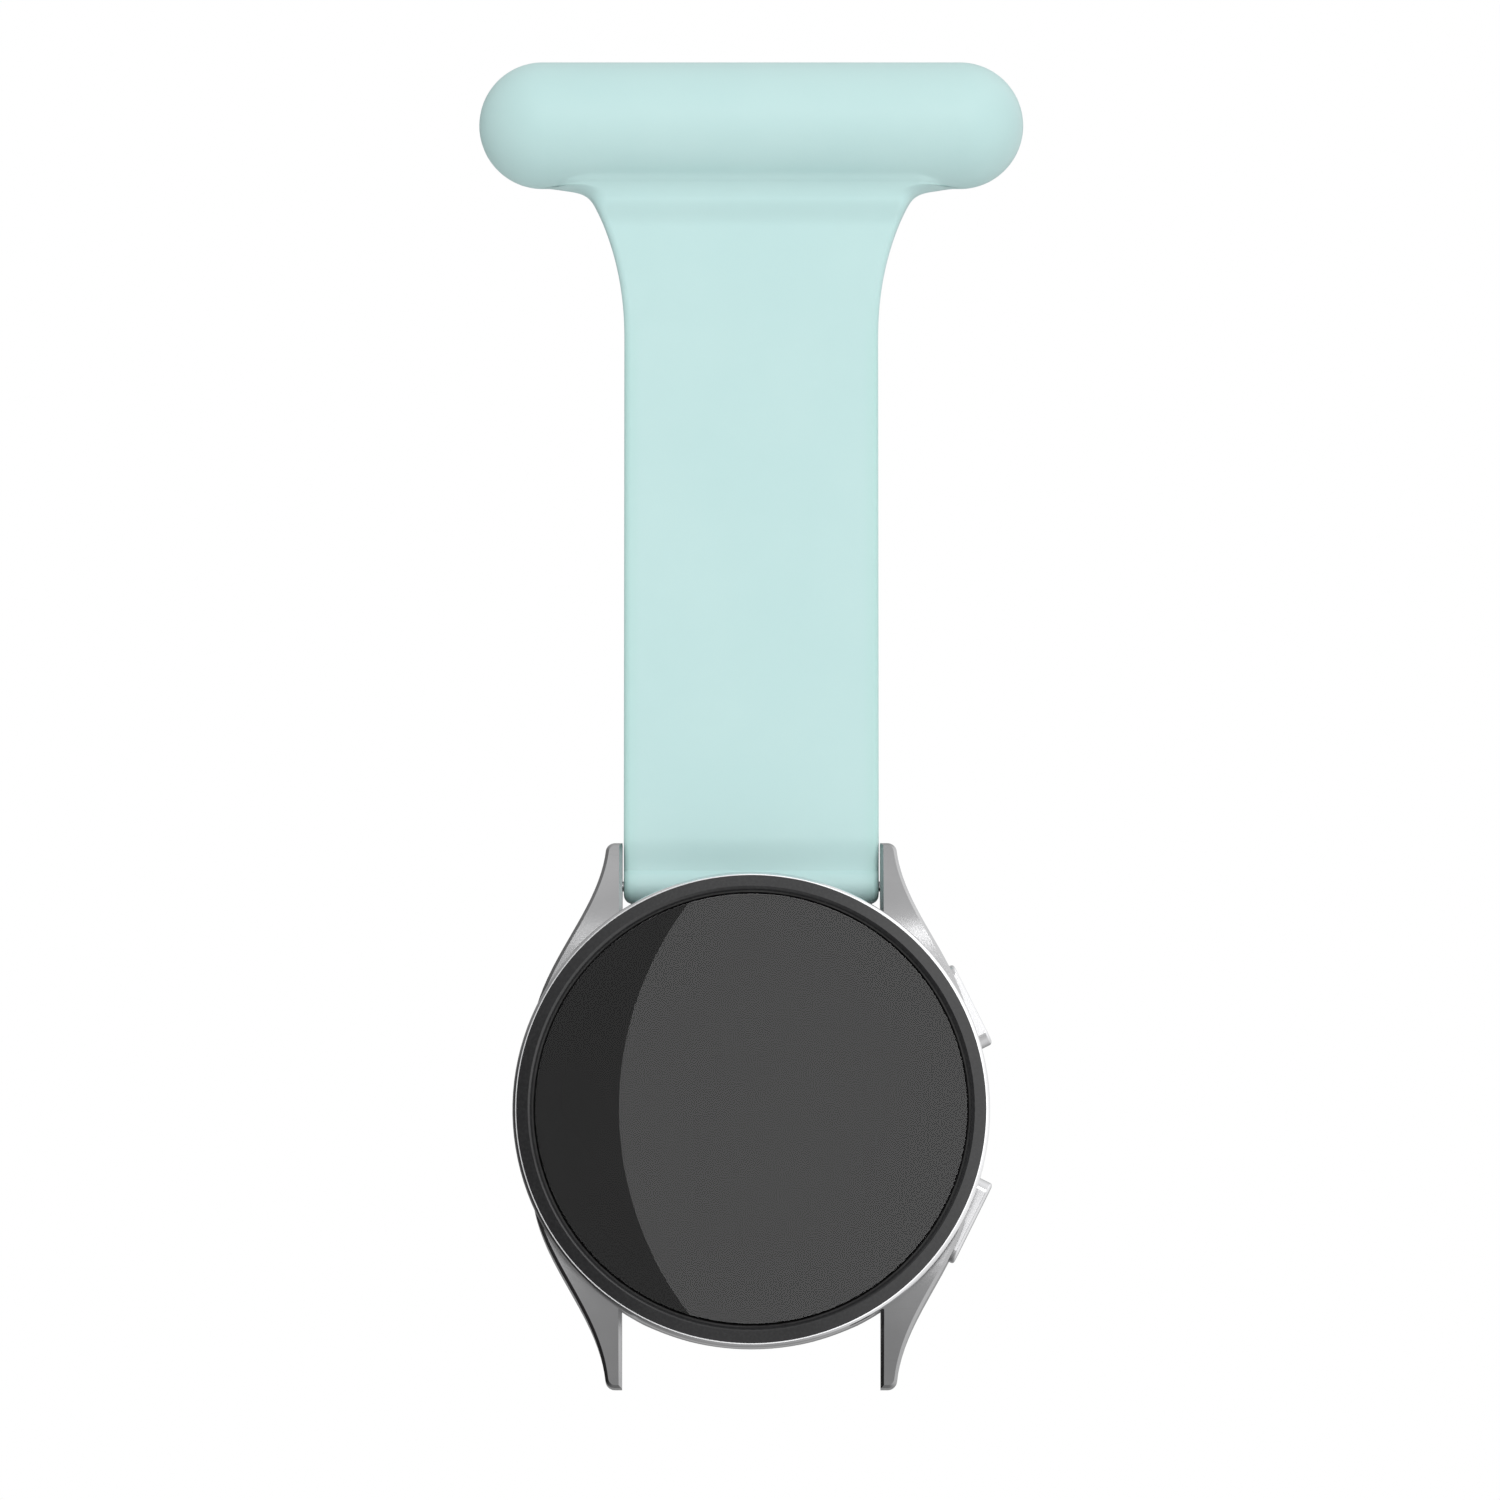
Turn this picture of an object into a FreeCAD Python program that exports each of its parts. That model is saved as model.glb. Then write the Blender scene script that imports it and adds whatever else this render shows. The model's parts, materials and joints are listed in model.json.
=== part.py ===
import FreeCAD, Part

import math
import os

# Fob watch: a round smartwatch head hung by a spring bar from a soft silicone fob, with a brooch pin in
# the fob's top bar. Millimetres. +Z is up, the dial faces -Y, and the origin is the middle of the needle.
# The head is drawn in its own frame first (x right, y towards twelve o'clock, z out of the dial, z = 0 on
# the spring bars), and seat_watch() turns it into the row frame.

V = FreeCAD.Vector
X, Y, Z = V(1, 0, 0), V(0, 1, 0), V(0, 0, 1)
os.makedirs("parts", exist_ok=True)

# ---------------------------------------------------------------- fits
RUNNING = 0.05          # radial gap of a turning or sliding fit
SOFT_GAP = 0.35         # gap round the soft loop where the case is hollowed for it
SIDE_GAP = 0.1          # strap's edge to a lug, and a button's side to its pocket
FACE_GAP = 0.15         # glass to trim, bezel seam, clip to case wall

# ---------------------------------------------------------------- silicone fob
BAR_LENGTH = 43.0       # top bar, end to end
BAR_RADIUS = 5.0
STRAP_WIDTH = 20.0
STRAP_THICK = 2.2
STRAP_DROP = 60.5       # needle down to the spring bar
NECK_FLARE = 5.2        # neck's edge outside the strap's edge where it leaves the bar
NECK_DROP = 12.0        # height over which the neck narrows to the strap
NECK_FOOT = 3.6         # thickness of the neck where it meets the bar
NECK_THINS = 3.5        # height over which it thins to the strap
LOOP_WALL = 0.65        # silicone round the spring bar's tube
LOOP_CORNER = 0.8
LOOP_NECK = 0.8         # half thickness just above the loop
LOOP_BLEND = 2.4        # height over which the strap thins to the loop's neck
FLEX_DROP = 32.0        # needle down to the line the fob folds about
FLEX_STANDOFF = 1.02    # upper fob ends this far above the fold line

# ---------------------------------------------------------------- brooch pin in the bar
BAR_OVER_NEEDLE = 1.0   # bar's back behind the needle's axis
CHANNEL_LENGTH = 32.0
CHANNEL_HALF = 2.5
PLATE_LENGTH = 35.0
PLATE_HALF = 3.0
PLATE_THICK = 0.5
PLATE_TOP = -2.1        # front-to-back place of the plate's face under the needle
NEEDLE_RADIUS = 0.45
NEEDLE_TIP_RADIUS = 0.32  # in the catch, and in the neck beside the eye
NEEDLE_PIVOT = -14.0    # x of the hinge rivet
NEEDLE_SHOULDER = -12.4  # x where the full wire starts
NEEDLE_TAPER = 11.0     # x where the full wire ends
NEEDLE_STEP = 0.6
NEEDLE_POINT = 1.2      # length of the ground point
NEEDLE_END = 14.2
EYE_RADIUS = 0.85
EYE_HALF = 0.45
RIVET_RADIUS = 0.35
RIVET_HEAD = 0.2
EAR_THICK = 0.4
EAR_RADIUS = 0.9
CATCH_START = 12.0
CATCH_LENGTH = 2.4
CATCH_BORE = 1.15
CATCH_WALL = 0.35
CATCH_SLOT = 0.95
ROLLER_BORE = 0.55
TAB_LENGTH = 0.7
TAB_REACH = 2.0
TAB_HALF = 0.35
TAB_ANGLE = -50.0       # tab's place round the roller at rest, from straight back

# ---------------------------------------------------------------- spring bar
TUBE_RADIUS = 0.75
TUBE_WALL = 0.15
TUBE_INSET = 1.3        # tube's end to the lug
TIP_RADIUS = 0.4
TIP_IN_LUG = 0.9        # how far a tip reaches into its lug
TIP_SHOULDER = 0.5      # plunger's end outside the tube
PLUNGER_LENGTH = 3.4    # part of a tip piece that stays in the tube
TIP_TRAVEL = 1.3
LEVER_RADIUS = 0.3
LEVER_PROUD = 0.25      # quick-release lever's end beyond the loop
LEVER_INSET = 2.2       # lever in from the tube's end
LEVER_ROOM = 0.25       # clear silicone round the lever
WIRE = 0.18             # spring wire
SPRING_RADIUS = 0.4     # mean radius of the coil
SPRING_TURNS = 14

# ---------------------------------------------------------------- watch case
CASE_RADIUS = 18.5
CASE_TAPER = 1.3        # back radius under the case radius
CASE_SHOULDER = 1.0     # height where the taper starts
CASE_BULGE = 0.3        # how far the taper stands out from straight
CASE_BACK = -2.0
CASE_TOP = 4.3
CASE_WALL = 3.6
SWING_LIFT = 40.0       # degrees the head tips up, which the case is relieved for
RELIEF_ROOF = 0.3       # full wall kept over the relief
LUG_INSET = 0.45        # spring bar's axis inside the case radius
LUG_NOSE = 3.35         # lug's tip beyond the spring bar's axis
LUG_WIDTH = 1.25        # at the tip
LUG_HOLLOW = 0.63       # how far the flank draws in from a straight tangent
LUG_SUNK = 2.3          # flank's start inside the case
LUG_HOLE_RADIUS = 0.45
LUG_HOLE_DEPTH = 1.1
LUG_TIP_TOP = 0.95      # front of the tip, over the spring bar
LUG_STEP = 0.25         # lug's top below the seam
LUG_FALL = 9.4          # length over which its top falls to the tip
LUG_BELLY = 0.35        # rise of its underside at the root
LUG_CORNER = 0.75
LUG_EDGE = 0.25

BEZEL_PROUD = 0.1       # bezel's radius over the case's
BEZEL_WALL = 0.3        # bezel's thin upper wall
BEZEL_STEP = 0.45       # height of that wall over the trim's shoulder
BEZEL_TOP = 5.95
TRIM_WIDTH = 1.5        # bezel's outer radius to the glass pocket
TRIM_LIP = 6.45         # highest point of the black trim
LEDGE_WIDTH = 0.9
LEDGE_TOP = 5.15
GLASS_BACK = 5.25
GLASS_FRONT = 6.3
GLASS_EDGE = 0.15
PANEL_INSET = 0.6
DISPLAY_PLATE_THICK = 0.15

# ---------------------------------------------------------------- back
WINDOW_RADIUS = 11.0
WINDOW_LEDGE = 0.8
WINDOW_SEAT = -2.6
WINDOW_PEAK = -3.45
COVER_CENTRE = -3.1
COVER_FLOOR = 0.4
SPIGOT_TOP = -0.9
SPIGOT_WALL = 1.1
SEAL_RADIUS = 0.3
SEAL_PLACE = -1.45
COIL_INNER = 6.4
COIL_TURNS = 8
COIL_PITCH = 0.44
COIL_WIRE = 0.36
COIL_HEIGHT = 0.5
ELECTRODE_GAP = 1.4     # window's edge to an electrode
ELECTRODE_WIDTH = 1.4
ELECTRODE_ANGLE = 110.0
ELECTRODE_DEPTH = 0.35
SCREW_RADIUS = 0.5
SCREW_HEAD = 0.9
SCREW_HEAD_HEIGHT = 0.3
SCREW_SUNK = 0.4
SCREW_DEPTH = 2.6

# ---------------------------------------------------------------- buttons
BUTTON_ANGLE = 26.5     # above and below three o'clock
BUTTON_LENGTH = 6.9
BUTTON_HEIGHT = 2.6
BUTTON_PROUD = 0.85     # button's face beyond the case radius
BUTTON_CORNER = 0.9
BUTTON_EDGE = 0.22
BUTTON_PLACE = 1.4      # height of the button's axis over the spring bars
POCKET_DEPTH = 1.2      # pocket floor inside the case radius
BUTTON_TRAVEL = 0.35
POST_RADIUS = 0.7
POST_REACH = 1.05       # post's end inside the cavity
GROOVE_DEPTH = 0.25
CLIP_THICK = 0.3
CLIP_RADIUS = 1.15
SWITCH_DEPTH = 1.2
SWITCH_GAP = 0.55       # switch's face to the post's end
NUB_RADIUS = 0.5

# ---------------------------------------------------------------- inside
TRAY_GAP = 0.3
TRAY_WALL = 0.7
TRAY_FLOOR = 0.6
TRAY_TOP = 2.6
BOARD_THICK = 0.5
BATTERY_RADIUS = 9.6
BATTERY_OFFSET = 3.5
BATTERY_TOP = 2.3
MOTOR_RADIUS = 3.4
MOTOR_OFFSET = -10.1
MOTOR_WALL = 0.2
MASS_OUTER = 2.9
MASS_INNER = 1.5
MASS_HEIGHT = 1.0
SPEAKER_ANGLE = 205.0
SPEAKER_LENGTH = 4.0
SPEAKER_HALF = 2.9
MIC_ANGLE = 0.0
RIBBON_THICK = 0.15
SOCKET_HEIGHT = 0.4
SOCKET_HALF = 1.4
SOCKET_DEPTH = 1.4

# ---------------------------------------------------------------- worked out
STRAP_Y = BAR_OVER_NEEDLE - BAR_RADIUS
BAR_Z = -STRAP_DROP
NECK_HALF = STRAP_WIDTH / 2 + NECK_FLARE
LOOP_RADIUS = TUBE_RADIUS + LOOP_WALL
PLATE_BOTTOM = PLATE_TOP - PLATE_THICK
CATCH_OUTER = CATCH_BORE + CATCH_WALL
LUG_GAP = STRAP_WIDTH + 2 * SIDE_GAP
LUG_REACH = CASE_RADIUS - LUG_INSET
LUG_TIP = LUG_REACH + LUG_NOSE
WATCH_Z = BAR_Z - LUG_REACH
TUBE_BORE = TUBE_RADIUS - TUBE_WALL
TUBE_LENGTH = LUG_GAP - 2 * TUBE_INSET
LEVER_REACH = LOOP_RADIUS + LEVER_PROUD
LEVER_X = TUBE_LENGTH / 2 - LEVER_INSET
CASE_BACK_RADIUS = CASE_RADIUS - CASE_TAPER
CAVITY_RADIUS = CASE_RADIUS - CASE_WALL
SEAM = FACE_GAP
BEZEL_OUTER = CASE_RADIUS + BEZEL_PROUD
BEZEL_INNER = BEZEL_OUTER - BEZEL_WALL - 0.25
TRIM_INNER = BEZEL_OUTER - TRIM_WIDTH
LEDGE_RADIUS = TRIM_INNER - LEDGE_WIDTH
GLASS_RADIUS = TRIM_INNER - FACE_GAP
PLATE_RADIUS = LEDGE_RADIUS - SIDE_GAP
PANEL_RADIUS = LEDGE_RADIUS - PANEL_INSET
PANEL_BACK = CASE_TOP + DISPLAY_PLATE_THICK
SPIGOT_RADIUS = CAVITY_RADIUS - SIDE_GAP
SCREW_CIRCLE = (CAVITY_RADIUS + CASE_BACK_RADIUS) / 2 - 0.1
POCKET_FLOOR = CASE_RADIUS - POCKET_DEPTH
BUTTON_FACE = CASE_RADIUS + BUTTON_PROUD
POST_END = CAVITY_RADIUS - POST_REACH
CLIP_FACE = CAVITY_RADIUS - FACE_GAP
GROOVE_START = CAVITY_RADIUS + 0.9
SWITCH_FRONT = POST_END - SWITCH_GAP
SWITCH_BACK = SWITCH_FRONT - SWITCH_DEPTH
SENSOR_FACE = WINDOW_SEAT + 0.7
TRAY_RADIUS = CAVITY_RADIUS - TRAY_GAP
TRAY_BACK = SPIGOT_TOP
TRAY_SEAT = TRAY_BACK + TRAY_FLOOR
BOARD_RADIUS = TRAY_RADIUS - 0.2
BOARD_TOP = TRAY_TOP + BOARD_THICK
RIBBON_DROP = BOARD_RADIUS - 0.8
SOCKET_X = SWITCH_BACK - RIBBON_THICK - 0.65


def save(name, shape):
    """Writes one sub-part, which has to be made of valid solids."""
    if not shape.isValid() or not shape.Solids:
        raise ValueError(name + " is not a valid solid")
    shape.exportStep("parts/" + name + ".step")


def cylinder(radius, start, end):
    """Cylinder from one point to another."""
    along = end - start
    return Part.makeCylinder(radius, along.Length, start, along)


def cone(radius_a, radius_b, start, end):
    along = end - start
    return Part.makeCone(radius_a, radius_b, along.Length, start, along)


def block(x0, x1, y0, y1, z0, z1):
    return Part.makeBox(x1 - x0, y1 - y0, z1 - z0, V(x0, y0, z0))


def lathe(points, angle=360.0):
    """Turns an outline of (radius, height) points round the Z axis."""
    outline = Part.makePolygon([V(r, 0, h) for r, h in points] + [V(points[0][0], 0, points[0][1])])
    return Part.Face(outline).revolve(V(0, 0, 0), Z, angle)


def tube(outer, inner, low, high):
    return lathe([(inner, low), (outer, low), (outer, high), (inner, high)])


def disc(radius, low, high, x=0.0, y=0.0):
    return cylinder(radius, V(x, y, low), V(x, y, high))


def spin(shape, degrees, axis=Z, about=V(0, 0, 0)):
    turned = shape.copy()
    turned.rotate(about, axis, degrees)
    return turned


def seat_watch(shape):
    """Carries a piece from the watch head's own frame into the row frame."""
    seated = spin(shape, 90, X)
    seated.translate(V(0, STRAP_Y, WATCH_Z))
    return seated


def single(shape):
    """The one solid of a boolean's result, with its split faces merged."""
    return shape.removeSplitter().Solids[0]


# ---------------------------------------------------------------- silicone fob
def fob_outline(y0, y1):
    """Front outline of neck and strap as a slab between two Y planes."""
    half = STRAP_WIDTH / 2
    top, foot = 0.0, BAR_Z - LOOP_RADIUS
    neck_top = -BAR_RADIUS
    neck_mid = V(half + (NECK_HALF - half) * 0.36, y0, neck_top - NECK_DROP * 0.2)
    shoulder = V(NECK_HALF, y0, neck_top)
    waist = V(half, y0, neck_top - NECK_DROP)
    side = Part.BSplineCurve()
    side.interpolate([shoulder, neck_mid, waist], Tangents=[V(-2.2, 0, 0.0), V(-1.0, 0, -2.1), V(0, 0, -2.6)],
                     TangentFlags=[True, True, True])
    flip = FreeCAD.Matrix()
    flip.A11 = -1
    other = side.toShape().transformGeometry(flip)
    c = LOOP_CORNER
    turn = c * (1 - math.sqrt(0.5))
    right_corner = Part.Arc(V(half, y0, foot + c), V(half - turn, y0, foot + turn), V(half - c, y0, foot))
    left_corner = Part.Arc(V(c - half, y0, foot), V(turn - half, y0, foot + turn), V(-half, y0, foot + c))
    edges = [
        Part.makeLine(V(-NECK_HALF, y0, top), V(NECK_HALF, y0, top)),
        Part.makeLine(V(NECK_HALF, y0, top), shoulder),
        side.toShape(),
        Part.makeLine(waist, V(half, y0, foot + c)),
        right_corner.toShape(),
        Part.makeLine(V(half - c, y0, foot), V(c - half, y0, foot)),
        left_corner.toShape(),
        Part.makeLine(V(-half, y0, foot + c), V(-half, y0, waist.z)),
        other,
        Part.makeLine(V(-NECK_HALF, y0, neck_top), V(-NECK_HALF, y0, top)),
    ]
    return Part.Face(Part.Wire(Part.__sortEdges__(edges))).extrude(V(0, y1 - y0, 0))


def side_slab(points):
    """Slab across the fob from (forward of the strap's middle, z) points."""
    ring = [V(-BAR_LENGTH / 2, STRAP_Y + y, z) for y, z in points]
    return Part.Face(Part.makePolygon(ring + ring[:1])).extrude(V(BAR_LENGTH, 0, 0))


def fob_bar():
    """Round-ended bar along X."""
    reach = BAR_LENGTH / 2 - BAR_RADIUS
    bar = cylinder(BAR_RADIUS, V(-reach, STRAP_Y, 0), V(reach, STRAP_Y, 0))
    for x in (-reach, reach):
        bar = bar.fuse(Part.makeSphere(BAR_RADIUS, V(x, STRAP_Y, 0)))
    return bar


def strap_upper():
    half, foot = STRAP_THICK / 2, NECK_FOOT / 2
    fold = -FLEX_DROP
    end = fold + FLEX_STANDOFF
    seat = 0.4 - BAR_RADIUS
    section = side_slab([
        (-foot, 0), (foot, 0), (foot, seat), (half, seat - NECK_THINS), (half, end),
        (-half, end), (-half, seat - NECK_THINS), (-foot, seat),
    ])
    outline = fob_outline(STRAP_Y - BAR_RADIUS, STRAP_Y + BAR_RADIUS)
    strap = outline.common(section).fuse(fob_bar())
    cup = cylinder(half + RUNNING, V(-STRAP_WIDTH, STRAP_Y, fold), V(STRAP_WIDTH, STRAP_Y, fold))
    back = STRAP_Y + BAR_RADIUS + 1
    channel = block(-CHANNEL_LENGTH / 2, CHANNEL_LENGTH / 2, PLATE_TOP, back, -CHANNEL_HALF, CHANNEL_HALF)
    pocket = block(-PLATE_LENGTH / 2, PLATE_LENGTH / 2, PLATE_BOTTOM, PLATE_TOP, -PLATE_HALF, PLATE_HALF)
    return single(strap.cut(cup).cut(channel).cut(pocket))


def strap_lower():
    half = STRAP_THICK / 2
    fold = -FLEX_DROP
    crease = BAR_Z + LOOP_RADIUS
    section = side_slab([
        (-half, fold), (half, fold), (half, crease + LOOP_BLEND), (LOOP_NECK, crease), (LOOP_NECK, BAR_Z),
        (-LOOP_NECK, BAR_Z), (-LOOP_NECK, crease), (-half, crease + LOOP_BLEND),
    ])
    wide = STRAP_WIDTH / 2
    loop = cylinder(LOOP_RADIUS, V(-wide, STRAP_Y, BAR_Z), V(wide, STRAP_Y, BAR_Z))
    body = section.fuse(loop).common(fob_outline(STRAP_Y - BAR_RADIUS, STRAP_Y + BAR_RADIUS))
    body = body.fuse(cylinder(half, V(-wide, STRAP_Y, fold), V(wide, STRAP_Y, fold)))
    bore = cylinder(TUBE_RADIUS, V(-wide - 1, STRAP_Y, BAR_Z), V(wide + 1, STRAP_Y, BAR_Z))
    body = body.cut(bore)
    room = LEVER_RADIUS + LEVER_ROOM
    notch = block(LEVER_X - TIP_TRAVEL - room, LEVER_X + room, STRAP_Y, STRAP_Y + LOOP_RADIUS + 1,
                  BAR_Z - room, BAR_Z + room)
    return single(body.cut(notch))


# ---------------------------------------------------------------- brooch pin
def pin_base_plate():
    """Steel strip with two hinge ears raised from it."""
    plate = block(-PLATE_LENGTH / 2, PLATE_LENGTH / 2, PLATE_BOTTOM, PLATE_TOP, -PLATE_HALF, PLATE_HALF)
    for side in (-1, 1):
        inner = EYE_HALF + RUNNING
        z0, z1 = sorted((side * inner, side * (inner + EAR_THICK)))
        ear = block(NEEDLE_PIVOT - EAR_RADIUS, NEEDLE_PIVOT + EAR_RADIUS, PLATE_TOP, 0, z0, z1)
        ear = ear.fuse(cylinder(EAR_RADIUS, V(NEEDLE_PIVOT, 0, z0), V(NEEDLE_PIVOT, 0, z1)))
        plate = plate.fuse(ear)
    reach = EYE_HALF + EAR_THICK + 1
    return single(plate.cut(cylinder(RIVET_RADIUS, V(NEEDLE_PIVOT, 0, -reach), V(NEEDLE_PIVOT, 0, reach))))


def pin_hinge_rivet():
    outer = EYE_HALF + RUNNING + EAR_THICK
    rivet = cylinder(RIVET_RADIUS, V(NEEDLE_PIVOT, 0, -outer), V(NEEDLE_PIVOT, 0, outer))
    for side in (-1, 1):
        head = cone(RIVET_RADIUS * 1.7, RIVET_RADIUS * 1.2, V(NEEDLE_PIVOT, 0, side * outer),
                    V(NEEDLE_PIVOT, 0, side * (outer + RIVET_HEAD)))
        rivet = rivet.fuse(head)
    return single(rivet)


def pin_needle():
    """Eye, neck widening to the full wire, and ground point."""
    eye = cylinder(EYE_RADIUS, V(NEEDLE_PIVOT, 0, -EYE_HALF), V(NEEDLE_PIVOT, 0, EYE_HALF))
    shoulder = V(NEEDLE_SHOULDER, 0, 0)
    neck = cone(NEEDLE_TIP_RADIUS, NEEDLE_RADIUS, V(NEEDLE_PIVOT + EYE_RADIUS * 0.6, 0, 0), shoulder)
    wire = cylinder(NEEDLE_RADIUS, shoulder, V(NEEDLE_TAPER, 0, 0))
    taper = cone(NEEDLE_RADIUS, NEEDLE_TIP_RADIUS, V(NEEDLE_TAPER, 0, 0), V(NEEDLE_TAPER + NEEDLE_STEP, 0, 0))
    grind = V(NEEDLE_END - NEEDLE_POINT, 0, 0)
    shank = cylinder(NEEDLE_TIP_RADIUS, V(NEEDLE_TAPER + NEEDLE_STEP, 0, 0), grind)
    point = cone(NEEDLE_TIP_RADIUS, 0.04, grind, V(NEEDLE_END, 0, 0))
    needle = eye.fuse([neck, wire, taper, shank, point])
    hole = cylinder(RIVET_RADIUS + RUNNING, V(NEEDLE_PIVOT, 0, -1), V(NEEDLE_PIVOT, 0, 1))
    return single(needle.cut(hole))


def pin_catch_housing():
    """Open barrel on a foot, slotted straight back for the needle."""
    end = CATCH_START + CATCH_LENGTH
    barrel = cylinder(CATCH_OUTER, V(CATCH_START, 0, 0), V(end, 0, 0))
    foot = block(CATCH_START, end, PLATE_TOP, 0, -CATCH_OUTER * 0.6, CATCH_OUTER * 0.6)
    bore = cylinder(CATCH_BORE, V(CATCH_START - 1, 0, 0), V(end + 1, 0, 0))
    slot = block(CATCH_START - 1, end + 1, 0, CATCH_OUTER + 1, -CATCH_SLOT / 2, CATCH_SLOT / 2)
    return single(barrel.fuse(foot).cut(bore).cut(slot))


def pin_catch_roller():
    """Slotted sleeve that turns in the housing, with a thumb tab outside it."""
    end = CATCH_START + CATCH_LENGTH
    outer = CATCH_BORE - RUNNING
    sleeve = cylinder(outer, V(CATCH_START, 0, 0), V(end + TAB_LENGTH, 0, 0))
    sleeve = sleeve.cut(cylinder(ROLLER_BORE, V(CATCH_START - 1, 0, 0), V(end, 0, 0)))
    slot = block(CATCH_START - 1, end, 0, CATCH_OUTER, -CATCH_SLOT / 2, CATCH_SLOT / 2)
    sleeve = sleeve.cut(slot)
    centre = TAB_REACH - TAB_HALF
    tab = block(end + RUNNING, end + TAB_LENGTH, 0, centre, -TAB_HALF, TAB_HALF)
    tab = tab.fuse(cylinder(TAB_HALF, V(end + RUNNING, centre, 0), V(end + TAB_LENGTH, centre, 0)))
    return single(sleeve.fuse(spin(tab, TAB_ANGLE, X)))


# ---------------------------------------------------------------- spring bar
def on_bar(shape):
    """Moves a piece drawn about the X axis onto the spring bar's axis."""
    moved = shape.copy()
    moved.translate(V(0, STRAP_Y, BAR_Z))
    return moved


def spring_bar_tube():
    half = TUBE_LENGTH / 2
    body = cylinder(TUBE_RADIUS, V(-half, 0, 0), V(half, 0, 0))
    body = body.cut(cylinder(TUBE_BORE, V(-half - 1, 0, 0), V(half + 1, 0, 0)))
    room = LEVER_RADIUS + RUNNING
    slot = block(LEVER_X - TIP_TRAVEL - room, LEVER_X + room, 0, TUBE_RADIUS + 1, -room, room)
    return on_bar(single(body.cut(slot)))


def spring_bar_tip(side):
    """Plunger in the tube with its thinner tip out in the lug, on the side of -1 or 1."""
    half = TUBE_LENGTH / 2
    reach = LUG_GAP / 2 + TIP_IN_LUG
    plunger = cylinder(TUBE_BORE - RUNNING, V(half - PLUNGER_LENGTH, 0, 0), V(half + TIP_SHOULDER, 0, 0))
    neck = cylinder(TIP_RADIUS, V(half + TIP_SHOULDER, 0, 0), V(reach - 0.15, 0, 0))
    nose = cone(TIP_RADIUS, TIP_RADIUS * 0.7, V(reach - 0.15, 0, 0), V(reach, 0, 0))
    tip = plunger.fuse([neck, nose])
    if side > 0:
        tip = tip.cut(cylinder(LEVER_RADIUS, V(LEVER_X, -1, 0), V(LEVER_X, 1, 0)))
    return on_bar(spin(single(tip), 0 if side > 0 else 180, Z))


def quick_release_lever():
    shoulder = V(LEVER_X, LEVER_REACH - 0.15, 0)
    stem = cylinder(LEVER_RADIUS, V(LEVER_X, 0.2 - TUBE_BORE, 0), shoulder)
    crown = cone(LEVER_RADIUS, LEVER_RADIUS * 0.6, shoulder, V(LEVER_X, LEVER_REACH, 0))
    return on_bar(single(stem.fuse(crown)))


def spring_bar_spring():
    """Coil between the two plungers."""
    end = TUBE_LENGTH / 2 - PLUNGER_LENGTH
    length = 2 * end - WIRE
    path = Part.Wire(Part.makeHelix(length / SPRING_TURNS, length, SPRING_RADIUS))
    start = Part.Wire(Part.makeCircle(WIRE / 2, V(SPRING_RADIUS, 0, 0), Y))
    coil = Part.BRepOffsetAPI.MakePipeShell(path)
    coil.setFrenetMode(True)
    coil.add(start)
    coil.build()
    coil.makeSolid()
    spring = spin(coil.shape(), 90, Y)
    spring.translate(V(-end + WIRE / 2, 0, 0))
    return on_bar(spring)


# ---------------------------------------------------------------- case
def case_outside(top):
    """Everything inside the case band's outer skin, up to a height."""
    shoulder = V(CASE_RADIUS, 0, CASE_SHOULDER)
    middle = V(CASE_RADIUS - CASE_TAPER / 2 + CASE_BULGE, 0, (CASE_SHOULDER + CASE_BACK) / 2 - CASE_BULGE / 2)
    side = Part.makeLine(V(CASE_RADIUS, 0, top), shoulder)
    taper = Part.Arc(shoulder, middle, V(CASE_BACK_RADIUS, 0, CASE_BACK)).toShape()
    low, high = V(0, 0, CASE_BACK), V(0, 0, top)
    edges = [side, taper, Part.makeLine(V(CASE_BACK_RADIUS, 0, CASE_BACK), low), Part.makeLine(low, high),
             Part.makeLine(high, V(CASE_RADIUS, 0, top))]
    return Part.Face(Part.Wire(edges)).revolve(V(0, 0, 0), Z, 360)


def loop_relief(side):
    """Hollow that clears the fob's loop and lets the head tip, at twelve (1) or six (-1) o'clock."""
    half = LUG_GAP / 2
    room = LOOP_RADIUS + SOFT_GAP
    hollow = cylinder(room, V(-half, LUG_REACH, 0), V(half, LUG_REACH, 0))
    lift = math.radians(SWING_LIFT)
    clear = STRAP_THICK / 2 + SOFT_GAP

    def face_point(along):
        return V(-half, LUG_REACH + along * math.cos(lift) - clear * math.sin(lift),
                 along * math.sin(lift) + clear * math.cos(lift))

    roof = CASE_TOP - SEAM - RELIEF_ROOF
    low, high = face_point(0.4), face_point((roof - clear * math.cos(lift)) / math.sin(lift))
    far = LUG_REACH + CASE_RADIUS
    ring = [V(-half, LUG_REACH, 0), low, high, V(-half, far, high.z), V(-half, far, 0)]
    wedge = Part.Face(Part.makePolygon(ring + ring[:1])).extrude(V(2 * half, 0, 0))
    cutter = hollow.fuse(wedge)
    return cutter if side > 0 else spin(cutter, 180, Z)


def radial(shape, degrees):
    """Turns a piece drawn along +X at the button height to its place round the case."""
    return spin(shape, degrees, Z)


def rounded_slab(length, height, corner, start, end):
    """Bar along X from start to end with a rounded rectangular section, at the button height."""
    half_l, half_h = length / 2, height / 2
    core = block(start, end, -half_l, half_l, BUTTON_PLACE - half_h, BUTTON_PLACE + half_h)
    long_edges = [e for e in core.Edges if abs(e.tangentAt(e.FirstParameter).x) > 0.99]
    return core.makeFillet(corner, long_edges)


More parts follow.
